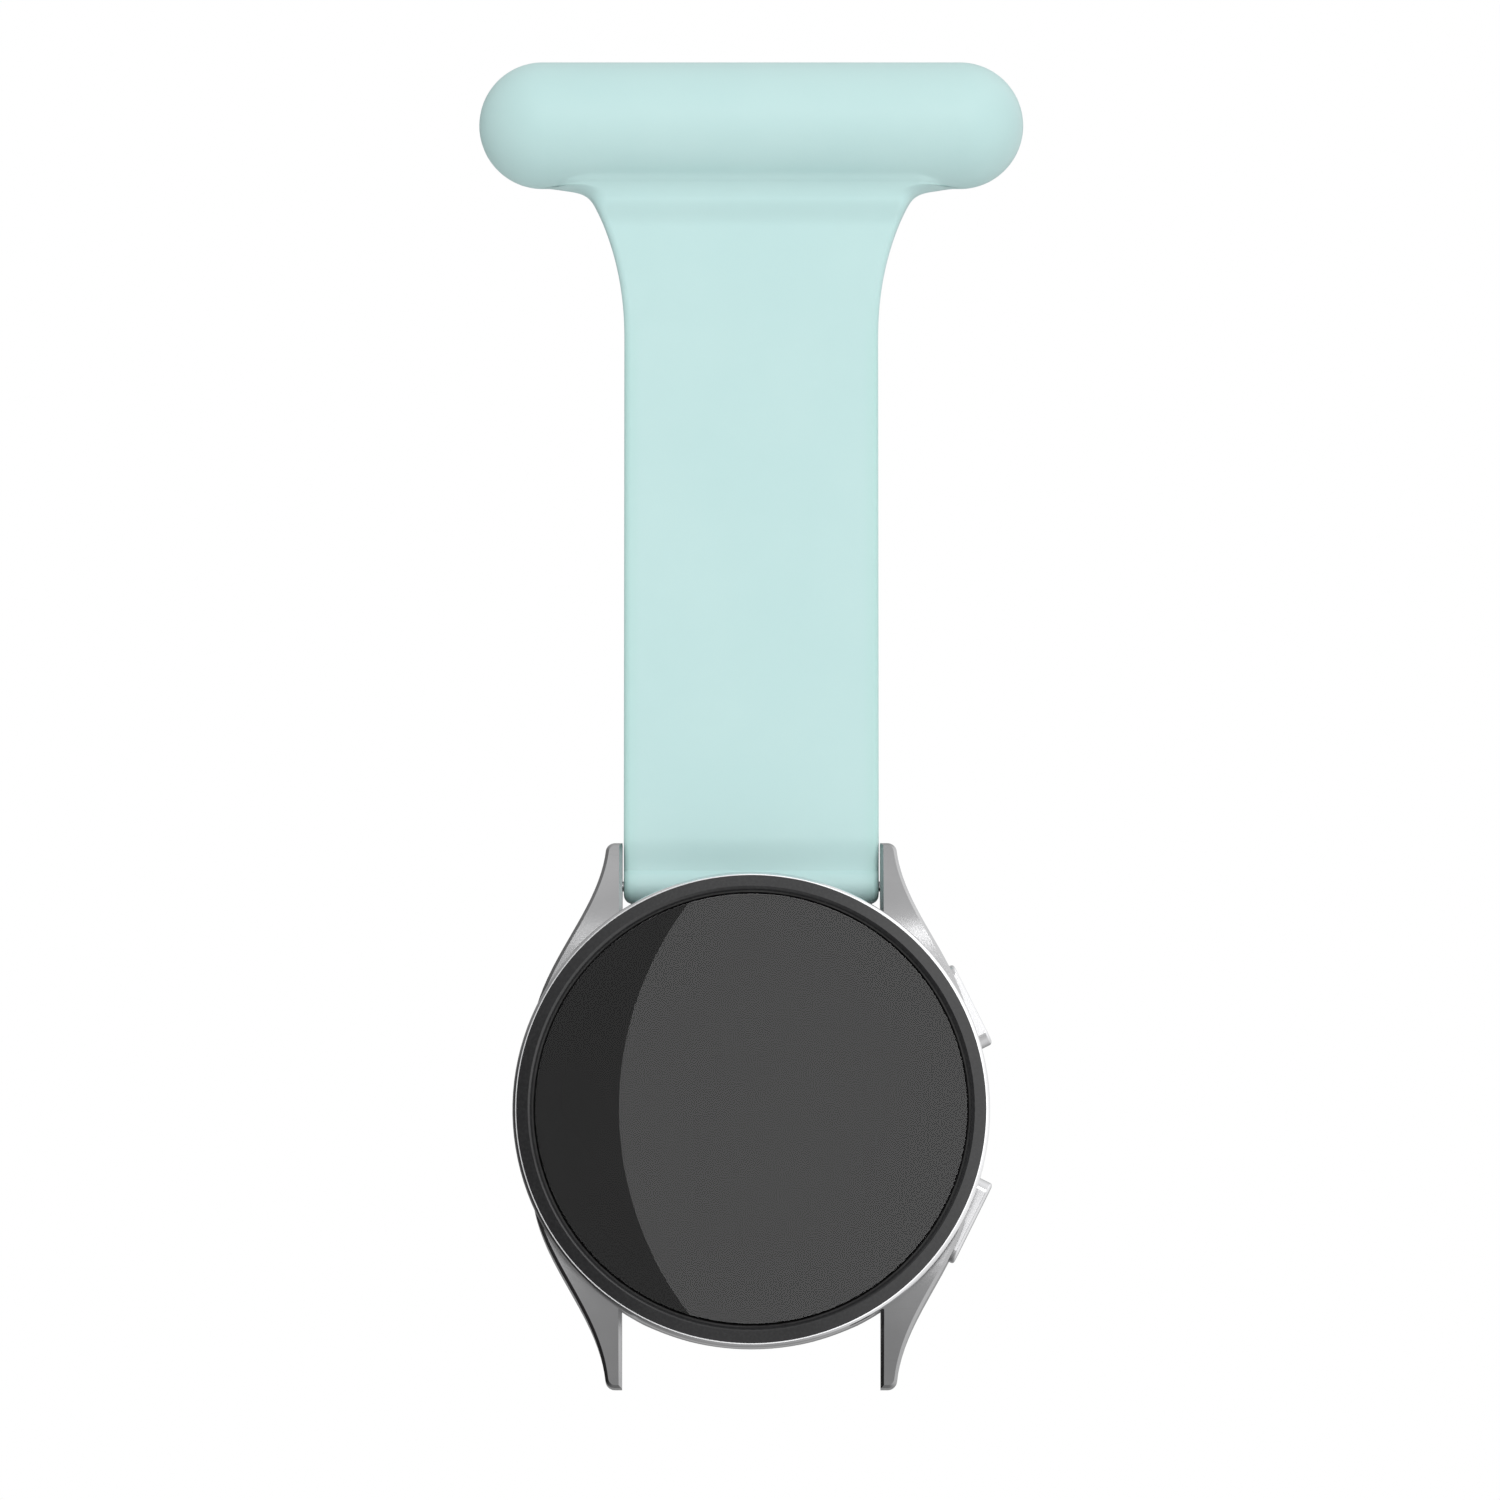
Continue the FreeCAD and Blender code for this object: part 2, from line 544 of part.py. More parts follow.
def button_pocket(degrees):
    pocket = rounded_slab(BUTTON_LENGTH + 2 * SIDE_GAP, BUTTON_HEIGHT + 2 * SIDE_GAP,
                          BUTTON_CORNER + SIDE_GAP, POCKET_FLOOR, BUTTON_FACE + 3)
    inside, outside = V(CAVITY_RADIUS - 2, 0, BUTTON_PLACE), V(BUTTON_FACE, 0, BUTTON_PLACE)
    bore = cylinder(POST_RADIUS + RUNNING, inside, outside)
    return radial(pocket.fuse(bore), degrees)


def screw_places():
    reach = SCREW_CIRCLE * math.sqrt(0.5)
    return [(sx * reach, sy * reach) for sx in (-1, 1) for sy in (-1, 1)]


def case_band():
    """Turned body of the case with its hollow, pockets, holes and loop reliefs."""
    shoulder = BEZEL_OUTER - 0.4
    band = case_outside(CASE_TOP - SEAM).fuse(disc(shoulder, CASE_TOP - SEAM - 0.5, CASE_TOP))
    band = band.cut(disc(CAVITY_RADIUS, CASE_BACK - 1, CASE_TOP + 1))
    for side in (1, -1):
        band = band.cut(loop_relief(side))
        band = band.cut(button_pocket(side * BUTTON_ANGLE))
    for x, y in screw_places():
        band = band.cut(disc(SCREW_RADIUS, CASE_BACK - 1, CASE_BACK + SCREW_DEPTH, x, y))
    for shift in (-1.1, 0, 1.1):
        slot = rounded_slab(0.55, 1.7, 0.27, CAVITY_RADIUS - 1, CASE_RADIUS + 1)
        slot.translate(V(0, shift, 0))
        band = band.cut(radial(slot, SPEAKER_ANGLE))
    mic = cylinder(0.3, V(CAVITY_RADIUS - 1, 0, BUTTON_PLACE), V(CASE_RADIUS + 1, 0, BUTTON_PLACE))
    return single(band.cut(radial(mic, MIC_ANGLE)))


def lug(side_x, side_y):
    """One lug, from the case's skin out to its tip, with its blind spring bar hole."""
    inner, under = LUG_GAP / 2, CASE_BACK + LUG_BELLY
    tip = V(inner + LUG_WIDTH, LUG_TIP, -9)
    foot_angle = math.atan2(tip.y, tip.x) - math.acos(CASE_RADIUS / math.hypot(tip.x, tip.y))
    foot = V(CASE_RADIUS * math.cos(foot_angle), CASE_RADIUS * math.sin(foot_angle), -9)
    root_y = foot.y - LUG_SUNK
    root = V(foot.x, root_y, -9)
    flank = Part.BSplineCurve()
    shoulder, waist = foot + (tip - foot) * 0.36, foot + (tip - foot) * 0.67 - V(LUG_HOLLOW, 0, 0)
    flank.interpolate([root, shoulder, waist, tip])
    inner_tip, inner_root = V(inner, LUG_TIP, -9), V(inner, root_y, -9)
    edges = [Part.makeLine(inner_root, root), flank.toShape(), Part.makeLine(tip, inner_tip),
             Part.makeLine(inner_tip, inner_root)]
    plan = Part.Face(Part.Wire(edges)).extrude(V(0, 0, 18))

    top = CASE_TOP - SEAM - LUG_STEP
    upper, brow = V(0, root_y, top), V(0, LUG_TIP - LUG_FALL, top)
    end_low, end_high = V(0, LUG_TIP, CASE_BACK), V(0, LUG_TIP, LUG_TIP_TOP)
    lower = V(0, root_y, under)
    drop = top - LUG_TIP_TOP
    radius = (LUG_FALL ** 2 + drop ** 2) / (2 * drop)
    turn = math.asin(LUG_FALL / radius) / 2
    middle = V(0, brow.y + radius * math.sin(turn), top - radius * (1 - math.cos(turn)))
    crown = Part.Arc(brow, middle, end_high).toShape()
    belly = Part.Arc(end_low, V(0, LUG_TIP - LUG_FALL / 2, CASE_BACK + LUG_BELLY / 5), lower).toShape()
    profile = Part.Wire([Part.makeLine(upper, brow), crown, Part.makeLine(end_high, end_low), belly,
                         Part.makeLine(lower, upper)])
    horn = plan.common(Part.Face(profile).extrude(V(30, 0, 0)))

    corner = [e for e in horn.Edges if abs(e.tangentAt(e.FirstParameter).z) > 0.99
              and e.CenterOfMass.y > LUG_TIP - 0.1 and e.CenterOfMass.x > inner + 0.5]
    horn = horn.makeFillet(LUG_CORNER, corner)
    rims = [e for e in horn.Edges if e.CenterOfMass.y > root_y + 0.5
            and abs(e.tangentAt(e.FirstParameter).z) < 0.95]
    horn = horn.makeChamfer(LUG_EDGE, rims)
    horn = horn.cut(case_outside(CASE_TOP))
    hole = cylinder(LUG_HOLE_RADIUS, V(inner - 1, LUG_REACH, 0), V(inner + LUG_HOLE_DEPTH, LUG_REACH, 0))
    horn = horn.cut(hole)
    if side_x * side_y < 0:
        horn = horn.mirror(V(0, 0, 0), X)
    if side_y < 0:
        horn = spin(horn, 180, Z)
    if side_x > 0:
        horn = horn.cut(button_pocket(side_y * BUTTON_ANGLE))
    return single(horn)


def bezel_ring():
    """Polished metal ring round the trim."""
    wall = BEZEL_OUTER - BEZEL_WALL
    step = BEZEL_TOP - BEZEL_STEP
    return lathe([(BEZEL_INNER, CASE_TOP), (BEZEL_OUTER, CASE_TOP), (BEZEL_OUTER, step),
                  (BEZEL_OUTER - 0.08, BEZEL_TOP - 0.17), (BEZEL_OUTER - 0.22, BEZEL_TOP),
                  (wall, BEZEL_TOP), (wall, step), (BEZEL_INNER, step)])


def trim_ring():
    """Black gloss ring that holds the glass and stands a little proud of it."""
    edge = BEZEL_OUTER - BEZEL_WALL
    step = BEZEL_TOP - BEZEL_STEP
    return lathe([(LEDGE_RADIUS, CASE_TOP), (BEZEL_INNER, CASE_TOP), (BEZEL_INNER, step),
                  (edge, step), (edge, BEZEL_TOP), (TRIM_INNER + 0.3, TRIM_LIP),
                  (TRIM_INNER, TRIM_LIP - 0.3), (TRIM_INNER, LEDGE_TOP), (LEDGE_RADIUS, LEDGE_TOP)])


def glass_gasket():
    return tube(TRIM_INNER, GLASS_RADIUS, LEDGE_TOP, GLASS_FRONT - 0.22)


def glass_adhesive():
    return tube(GLASS_RADIUS - 0.1, LEDGE_RADIUS, LEDGE_TOP, GLASS_BACK)


def cover_glass():
    return lathe([(0, GLASS_BACK), (GLASS_RADIUS, GLASS_BACK), (GLASS_RADIUS, GLASS_FRONT - GLASS_EDGE),
                  (GLASS_RADIUS - GLASS_EDGE, GLASS_FRONT), (0, GLASS_FRONT)])


def oled_panel():
    return disc(PANEL_RADIUS, PANEL_BACK, GLASS_BACK)


def display_plate():
    plate = disc(PLATE_RADIUS, CASE_TOP, PANEL_BACK)
    gate = block(-3, 3, -RIBBON_DROP - 0.7, 0.5 - RIBBON_DROP, CASE_TOP - 1, PANEL_BACK + 1)
    return single(plate.cut(gate))


def display_flex():
    """Ribbon from the panel down to its socket on the board."""
    land = BOARD_TOP + SOCKET_HEIGHT
    outer = -RIBBON_DROP - RIBBON_THICK
    down = block(-2.5, 2.5, outer, -RIBBON_DROP, land, PANEL_BACK)
    along = block(-2.5, 2.5, outer, 3 - RIBBON_DROP, land, land + RIBBON_THICK)
    return single(down.fuse(along))


# ---------------------------------------------------------------- back
def rear_cover_blank():
    ledge = WINDOW_RADIUS - WINDOW_LEDGE
    pocket = WINDOW_RADIUS + RUNNING
    floor = WINDOW_SEAT + COVER_FLOOR
    groove = SPIGOT_RADIUS - 0.5
    return lathe([(ledge, floor), (ledge, WINDOW_SEAT), (pocket, WINDOW_SEAT), (pocket, COVER_CENTRE),
                  (WINDOW_RADIUS + 1.2, COVER_CENTRE + 0.05), (CASE_BACK_RADIUS - 1.7, COVER_CENTRE + 0.35),
                  (CASE_BACK_RADIUS - 0.3, COVER_CENTRE + 0.72), (CASE_BACK_RADIUS - RUNNING, CASE_BACK),
                  (SPIGOT_RADIUS, CASE_BACK), (SPIGOT_RADIUS, SEAL_PLACE - SEAL_RADIUS),
                  (groove, SEAL_PLACE - SEAL_RADIUS), (groove, SEAL_PLACE + SEAL_RADIUS),
                  (SPIGOT_RADIUS, SEAL_PLACE + SEAL_RADIUS), (SPIGOT_RADIUS, SPIGOT_TOP),
                  (SPIGOT_RADIUS - SPIGOT_WALL, SPIGOT_TOP), (SPIGOT_RADIUS - SPIGOT_WALL, floor)])


def electrode_cutters():
    inner = WINDOW_RADIUS + ELECTRODE_GAP
    outer = inner + ELECTRODE_WIDTH
    low, high = COVER_CENTRE - 0.3, COVER_CENTRE + ELECTRODE_DEPTH
    arc = lathe([(inner, low), (outer, low), (outer, high), (inner, high)], ELECTRODE_ANGLE)
    return [spin(arc, turn - ELECTRODE_ANGLE / 2, Z) for turn in (0, 180)]


def rear_cover():
    cover = rear_cover_blank()
    for cutter in electrode_cutters():
        cover = cover.cut(cutter)
    for x, y in screw_places():
        cover = cover.cut(disc(SCREW_RADIUS + RUNNING, COVER_CENTRE, CASE_BACK + 0.1, x, y))
        cover = cover.cut(disc(SCREW_HEAD + RUNNING, COVER_CENTRE - 0.5, CASE_BACK - SCREW_SUNK, x, y))
    return single(cover)


def rear_electrodes():
    blank = rear_cover_blank()
    return Part.makeCompound([cutter.common(blank).Solids[0] for cutter in electrode_cutters()])


def rear_screws():
    screws = []
    for x, y in screw_places():
        seat = CASE_BACK - SCREW_SUNK
        head = disc(SCREW_HEAD, seat - SCREW_HEAD_HEIGHT, seat, x, y)
        shank = disc(SCREW_RADIUS, seat, CASE_BACK + SCREW_DEPTH - 0.3, x, y)
        screw = head.fuse(shank)
        for turn in (0, 90):
            face = seat - SCREW_HEAD_HEIGHT
            groove = block(-0.6, 0.6, -0.11, 0.11, face - 0.1, face + 0.16)
            groove = spin(groove, 45 + turn, Z)
            groove.translate(V(x, y, 0))
            screw = screw.cut(groove)
        screws.append(single(screw))
    return Part.makeCompound(screws)


def rear_seal():
    return Part.makeTorus(CAVITY_RADIUS - SEAL_RADIUS, SEAL_RADIUS, V(0, 0, SEAL_PLACE))


def rear_crystal():
    """Slightly domed window over the sensors."""
    dome = Part.Arc(V(0, 0, WINDOW_PEAK), V(WINDOW_RADIUS * 0.6, 0, WINDOW_PEAK + 0.12),
                    V(WINDOW_RADIUS, 0, COVER_CENTRE)).toShape()
    edges = [dome, Part.makeLine(V(WINDOW_RADIUS, 0, COVER_CENTRE), V(WINDOW_RADIUS, 0, WINDOW_SEAT)),
             Part.makeLine(V(WINDOW_RADIUS, 0, WINDOW_SEAT), V(0, 0, WINDOW_SEAT)),
             Part.makeLine(V(0, 0, WINDOW_SEAT), V(0, 0, WINDOW_PEAK))]
    return Part.Face(Part.Wire(edges)).revolve(V(0, 0, 0), Z, 360)


def sensor_board():
    return disc(6.0, SENSOR_FACE, SENSOR_FACE + 0.5)


def light_barrier():
    """Two black rings that keep lamp light off the photodiodes."""
    return Part.makeCompound([tube(outer, outer - 0.45, WINDOW_SEAT, SENSOR_FACE) for outer in (2.6, 5.8)])


def sensor_leds():
    """Lamps in the middle and photodiodes round them, on the sensor board."""
    pieces = [block(x - 0.45, x + 0.45, y - 0.45, y + 0.45, SENSOR_FACE - 0.45, SENSOR_FACE)
              for x in (-0.7, 0.7) for y in (-0.7, 0.7)]
    diode = block(3.25, 4.65, -0.95, 0.95, SENSOR_FACE - 0.4, SENSOR_FACE)
    pieces += [spin(diode, 45 + 90 * k, Z) for k in range(4)]
    return Part.makeCompound(pieces)


def charging_coil():
    """Flat wound coil, each turn a ring on the window."""
    starts = [COIL_INNER + k * COIL_PITCH for k in range(COIL_TURNS)]
    return Part.makeCompound([tube(r + COIL_WIRE, r, WINDOW_SEAT, WINDOW_SEAT + COIL_HEIGHT) for r in starts])


def ferrite_sheet():
    low = WINDOW_SEAT + COIL_HEIGHT
    return tube(WINDOW_RADIUS - 1, COIL_INNER - 0.15, low, low + 0.25)


# ---------------------------------------------------------------- inside
def inner_tray():
    """Plastic tray on the rear cover's spigot that carries the battery, motor, speaker and board."""
    tray = lathe([(0, TRAY_BACK), (TRAY_RADIUS, TRAY_BACK), (TRAY_RADIUS, TRAY_TOP),
                  (TRAY_RADIUS - TRAY_WALL, TRAY_TOP), (TRAY_RADIUS - TRAY_WALL, TRAY_SEAT), (0, TRAY_SEAT)])
    tray = tray.cut(disc(5.0, TRAY_BACK - 1, TRAY_SEAT + 1, 0, 1.5))
    for degrees, half in ((BUTTON_ANGLE, 2.2), (-BUTTON_ANGLE, 2.2), (SPEAKER_ANGLE, 2.6), (MIC_ANGLE, 1.0)):
        gate = block(TRAY_RADIUS - 2, TRAY_RADIUS + 1, -half, half, TRAY_SEAT, TRAY_TOP + 1)
        tray = tray.cut(radial(gate, degrees))
    return single(tray)


def battery():
    can = disc(BATTERY_RADIUS, TRAY_SEAT, BATTERY_TOP, 0, BATTERY_OFFSET)
    rims = [e for e in can.Edges if e.Length > 1 and abs(e.BoundBox.ZLength) < 0.01]
    return can.makeFillet(0.4, rims)


def battery_pad():
    return disc(BATTERY_RADIUS - 2.5, BATTERY_TOP, TRAY_TOP, 0, BATTERY_OFFSET)


def main_board():
    board = disc(BOARD_RADIUS, TRAY_TOP, BOARD_TOP)
    for degrees in (BUTTON_ANGLE, -BUTTON_ANGLE):
        board = board.cut(radial(block(BOARD_RADIUS - 1.2, BOARD_RADIUS + 1, -1.5, 1.5, 0, 5), degrees))
    notch = block(SWITCH_BACK - RIBBON_THICK - 0.3, SWITCH_BACK + 0.3, -SOCKET_HALF - 0.3, SOCKET_HALF + 0.3,
                  TRAY_TOP - 1, BOARD_TOP + 1)
    return single(board.cut(notch))


def shield_can():
    """Thin steel lid over the processor, open underneath."""
    wall = 0.15
    outer = block(-6.5, 5.0, -4.0, 6.5, BOARD_TOP, BOARD_TOP + 0.95)
    inner = block(-6.5 + wall, 5.0 - wall, -4.0 + wall, 6.5 - wall, BOARD_TOP, BOARD_TOP + 0.95 - wall)
    return single(outer.cut(inner))


def processor():
    return block(-4.6, 1.4, -1.6, 4.4, BOARD_TOP, BOARD_TOP + 0.6)


def board_chips():
    places = [(7.4, 4.5, 3.0, 2.6), (7.6, 0.6, 2.4, 2.4), (-9.6, 4.0, 3.2, 3.0), (-9.4, -1.5, 2.4, 1.8),
              (3.4, 10.0, 3.4, 2.2), (-2.6, 10.2, 2.6, 2.6), (-4.6, -7.2, 3.0, 2.0), (4.6, -6.8, 2.2, 1.6),
              (8.6, -4.2, 1.6, 1.6)]
    return Part.makeCompound([block(x - w / 2, x + w / 2, y - h / 2, y + h / 2, BOARD_TOP, BOARD_TOP + 0.55)
                              for x, y, w, h in places])


def board_sockets():
    """Press-fit sockets for the display ribbon and the button ribbon."""
    display = block(-2.3, 2.3, 1.0 - RIBBON_DROP, 2.8 - RIBBON_DROP, BOARD_TOP, BOARD_TOP + SOCKET_HEIGHT)
    buttons = block(SOCKET_X - SOCKET_DEPTH, SOCKET_X, -SOCKET_HALF, SOCKET_HALF,
                    BOARD_TOP, BOARD_TOP + SOCKET_HEIGHT)
    return Part.makeCompound([display, buttons])


def haptic_can():
    """Closed round can with the drive coil's post standing in it."""
    can = disc(MOTOR_RADIUS, TRAY_SEAT, BATTERY_TOP, 0, MOTOR_OFFSET)
    room = disc(MOTOR_RADIUS - MOTOR_WALL, TRAY_SEAT + MOTOR_WALL, BATTERY_TOP - MOTOR_WALL, 0, MOTOR_OFFSET)
    post = disc(MASS_INNER - 0.3, TRAY_SEAT, TRAY_SEAT + 1.5, 0, MOTOR_OFFSET)
    return single(can.cut(room).fuse(post))


def haptic_mass():
    middle = (TRAY_SEAT + BATTERY_TOP) / 2
    low, high = middle - MASS_HEIGHT / 2, middle + MASS_HEIGHT / 2
    ring = tube(MASS_OUTER, MASS_INNER, low, high)
    ring.translate(V(0, MOTOR_OFFSET, 0))
    return ring


def speaker():
    front = CAVITY_RADIUS - 1.5
    box = block(front - SPEAKER_LENGTH, front, -SPEAKER_HALF, SPEAKER_HALF, TRAY_SEAT, BATTERY_TOP)
    snout = block(front, SPIGOT_RADIUS, 1 - SPEAKER_HALF, SPEAKER_HALF - 1, 0.2, BATTERY_TOP)
    snout = snout.common(disc(SPIGOT_RADIUS, -5, 5))
    return radial(single(box.fuse(snout)), SPEAKER_ANGLE)


def microphone():
    low, high = BUTTON_PLACE - 0.6, BUTTON_PLACE + 0.6
    return radial(block(SWITCH_BACK, TRAY_RADIUS - 0.1, -0.9, 0.9, low, high), MIC_ANGLE)


def antenna():
    """Thin strip bonded round the upper left of the tray."""
    outer = TRAY_RADIUS + 0.15
    strip = lathe([(TRAY_RADIUS, 0.1), (outer, 0.1), (outer, 2.3), (TRAY_RADIUS, 2.3)], 75)
    return spin(strip, 98, Z)


# ---------------------------------------------------------------- buttons
def button(degrees):
    """Key with a flat outer face and one post through the case wall, grooved for its seal and clip."""
    root = POCKET_FLOOR + BUTTON_TRAVEL + SIDE_GAP
    key = rounded_slab(BUTTON_LENGTH, BUTTON_HEIGHT, BUTTON_CORNER, root, BUTTON_FACE)
    rim = [e for e in key.Edges if e.CenterOfMass.x > BUTTON_FACE - 0.01]
    key = key.makeFillet(BUTTON_EDGE, rim)
    post = cylinder(POST_RADIUS, V(POST_END, 0, BUTTON_PLACE), V(BUTTON_FACE - 0.6, 0, BUTTON_PLACE))
    key = key.fuse(post)
    for start, end in ((CLIP_FACE - CLIP_THICK, CLIP_FACE), (GROOVE_START, GROOVE_START + 0.5)):
        groove = cylinder(2, V(start, 0, BUTTON_PLACE), V(end, 0, BUTTON_PLACE))
        ends = V(start - 1, 0, BUTTON_PLACE), V(end + 1, 0, BUTTON_PLACE)
        key = key.cut(groove.cut(cylinder(POST_RADIUS - GROOVE_DEPTH, *ends)))
    return radial(single(key), degrees)


def button_seal(degrees):
    """Rubber ring in the post's groove."""
    centre = V(GROOVE_START + 0.25, 0, BUTTON_PLACE)
    return radial(Part.makeTorus(POST_RADIUS - 0.12, 0.125, centre, X), degrees)


def button_clip(degrees):
    """Flat C-shaped clip that stops the key coming out."""
    core = POST_RADIUS - GROOVE_DEPTH
    clip = cylinder(CLIP_RADIUS, V(CLIP_FACE - CLIP_THICK, 0, BUTTON_PLACE), V(CLIP_FACE, 0, BUTTON_PLACE))
    clip = clip.cut(cylinder(core, V(CLIP_FACE - 1, 0, BUTTON_PLACE), V(CLIP_FACE + 1, 0, BUTTON_PLACE)))
    mouth = block(CLIP_FACE - 1, CLIP_FACE + 1, -core * 0.85, core * 0.85, BUTTON_PLACE - 2, BUTTON_PLACE)
    return radial(single(clip.cut(mouth)), degrees)


def button_switch(degrees):
    body = block(SWITCH_BACK, SWITCH_FRONT, -1.6, 1.6, BUTTON_PLACE - 1.0, BUTTON_PLACE + 1.0)
    ends = V(SWITCH_BACK + 0.2, 0, BUTTON_PLACE), V(SWITCH_FRONT + 1, 0, BUTTON_PLACE)
    well = cylinder(NUB_RADIUS + RUNNING, *ends)
    return radial(single(body.cut(well)), degrees)


def button_nub(degrees):
    """Plunger of the switch, pushed by the post."""
    start = SWITCH_BACK + 0.2 + BUTTON_TRAVEL + SIDE_GAP
    return radial(cylinder(NUB_RADIUS, V(start, 0, BUTTON_PLACE), V(POST_END, 0, BUTTON_PLACE)), degrees)


def button_flex():
    """Ribbon behind both switches, with a tail up through the board's notch to its socket."""
    reach = BUTTON_ANGLE + 7
    low, high = BUTTON_PLACE - 0.9, BUTTON_PLACE + 0.9
    back = SWITCH_BACK - RIBBON_THICK
    section = [(back, low), (SWITCH_BACK, low), (SWITCH_BACK, high), (back, high)]
    strip = spin(lathe(section, 2 * reach), -reach, Z)
    half = SOCKET_HALF - 0.2
    land = BOARD_TOP + SOCKET_HEIGHT
    tail = block(back, SWITCH_BACK - 0.08, -half, half, high - 0.5, land + RIBBON_THICK)
    fold = block(SOCKET_X - SOCKET_DEPTH, back + 0.02, -half, half, land, land + RIBBON_THICK)
    return single(strip.fuse([tail, fold]))


def main():
    save("strap_upper", strap_upper())
    save("strap_lower", strap_lower())
    save("pin_base_plate", pin_base_plate())
    save("pin_hinge_rivet", pin_hinge_rivet())
    save("pin_needle", pin_needle())
    save("pin_catch_housing", pin_catch_housing())
    save("pin_catch_roller", pin_catch_roller())
    save("spring_bar_tube", spring_bar_tube())
    save("spring_bar_tip_left", spring_bar_tip(-1))
    save("spring_bar_tip_right", spring_bar_tip(1))
    save("quick_release_lever", quick_release_lever())
    save("spring_bar_spring", spring_bar_spring())

    lugs = {"lug_upper_right": (1, 1), "lug_upper_left": (-1, 1),
            "lug_lower_right": (1, -1), "lug_lower_left": (-1, -1)}
    for name, (side_x, side_y) in lugs.items():
        save(name, seat_watch(lug(side_x, side_y)))

    head = [case_band, bezel_ring, trim_ring, glass_gasket, glass_adhesive, cover_glass, oled_panel,
            display_plate, display_flex, rear_cover, rear_electrodes, rear_screws, rear_seal, rear_crystal,
            sensor_board, light_barrier, sensor_leds, charging_coil, ferrite_sheet, inner_tray, battery,
            battery_pad, main_board, shield_can, processor, board_chips, board_sockets, haptic_can,
            haptic_mass, speaker, microphone, antenna, button_flex]
    for make in head:
        save(make.__name__, seat_watch(make()))

    for name, degrees in (("upper", BUTTON_ANGLE), ("lower", -BUTTON_ANGLE)):
        for make in (button, button_seal, button_clip, button_switch, button_nub):
            save(name + "_" + make.__name__, seat_watch(make(degrees)))


main()
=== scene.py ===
import json
import math

import bpy
import numpy as np
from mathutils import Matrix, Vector


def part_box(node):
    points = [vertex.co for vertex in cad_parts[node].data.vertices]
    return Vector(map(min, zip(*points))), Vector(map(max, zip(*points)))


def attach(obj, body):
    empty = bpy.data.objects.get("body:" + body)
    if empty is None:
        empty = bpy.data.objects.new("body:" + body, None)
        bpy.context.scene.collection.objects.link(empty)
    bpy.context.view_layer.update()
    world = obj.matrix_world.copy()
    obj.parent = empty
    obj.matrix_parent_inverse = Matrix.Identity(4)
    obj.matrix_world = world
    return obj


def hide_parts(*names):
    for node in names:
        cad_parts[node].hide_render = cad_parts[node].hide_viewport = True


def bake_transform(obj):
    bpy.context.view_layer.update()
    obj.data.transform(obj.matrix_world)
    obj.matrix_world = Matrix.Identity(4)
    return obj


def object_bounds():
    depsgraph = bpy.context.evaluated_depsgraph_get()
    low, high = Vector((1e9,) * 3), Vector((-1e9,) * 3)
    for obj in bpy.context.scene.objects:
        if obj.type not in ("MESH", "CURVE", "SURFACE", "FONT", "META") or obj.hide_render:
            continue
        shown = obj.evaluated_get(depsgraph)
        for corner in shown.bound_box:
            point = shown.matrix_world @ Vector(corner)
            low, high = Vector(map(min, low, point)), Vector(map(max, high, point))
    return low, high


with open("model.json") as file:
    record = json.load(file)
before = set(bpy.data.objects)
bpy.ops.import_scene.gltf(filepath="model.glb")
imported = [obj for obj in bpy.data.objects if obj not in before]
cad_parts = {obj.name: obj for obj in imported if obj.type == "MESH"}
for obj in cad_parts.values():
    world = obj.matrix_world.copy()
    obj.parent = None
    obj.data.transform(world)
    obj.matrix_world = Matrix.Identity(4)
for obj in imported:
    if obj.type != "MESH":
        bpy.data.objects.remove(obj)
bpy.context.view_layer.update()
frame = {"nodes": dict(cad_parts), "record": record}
nodes = frame["nodes"]
print("frame loaded:", len(nodes), "nodes")


class Link:
    # one output of a shader node, on which sums are written as plain expressions
    def __init__(self, shader, socket):
        self.shader = shader
        self.socket = socket

    def maths(self, operation, *values):
        return self.shader.node("ShaderNodeMath", {"operation": operation}, dict(enumerate(values)))

    def __add__(self, other):
        return self.maths("ADD", self, other)

    def __sub__(self, other):
        return self.maths("SUBTRACT", self, other)

    def __rsub__(self, other):
        return self.maths("SUBTRACT", other, self)

    def __mul__(self, other):
        return self.maths("MULTIPLY", self, other)

    def __abs__(self):
        return self.maths("ABSOLUTE", self)

    def wave(self):
        return self.maths("SINE", self)

    def fade(self, low, high, toLow=0.0, toHigh=1.0):
        # rises smoothly from toLow at low to toHigh at high
        values = {"Value": self, "From Min": low, "From Max": high, "To Min": toLow, "To Max": toHigh}
        return self.shader.node("ShaderNodeMapRange", {"interpolation_type": "SMOOTHSTEP"}, values)


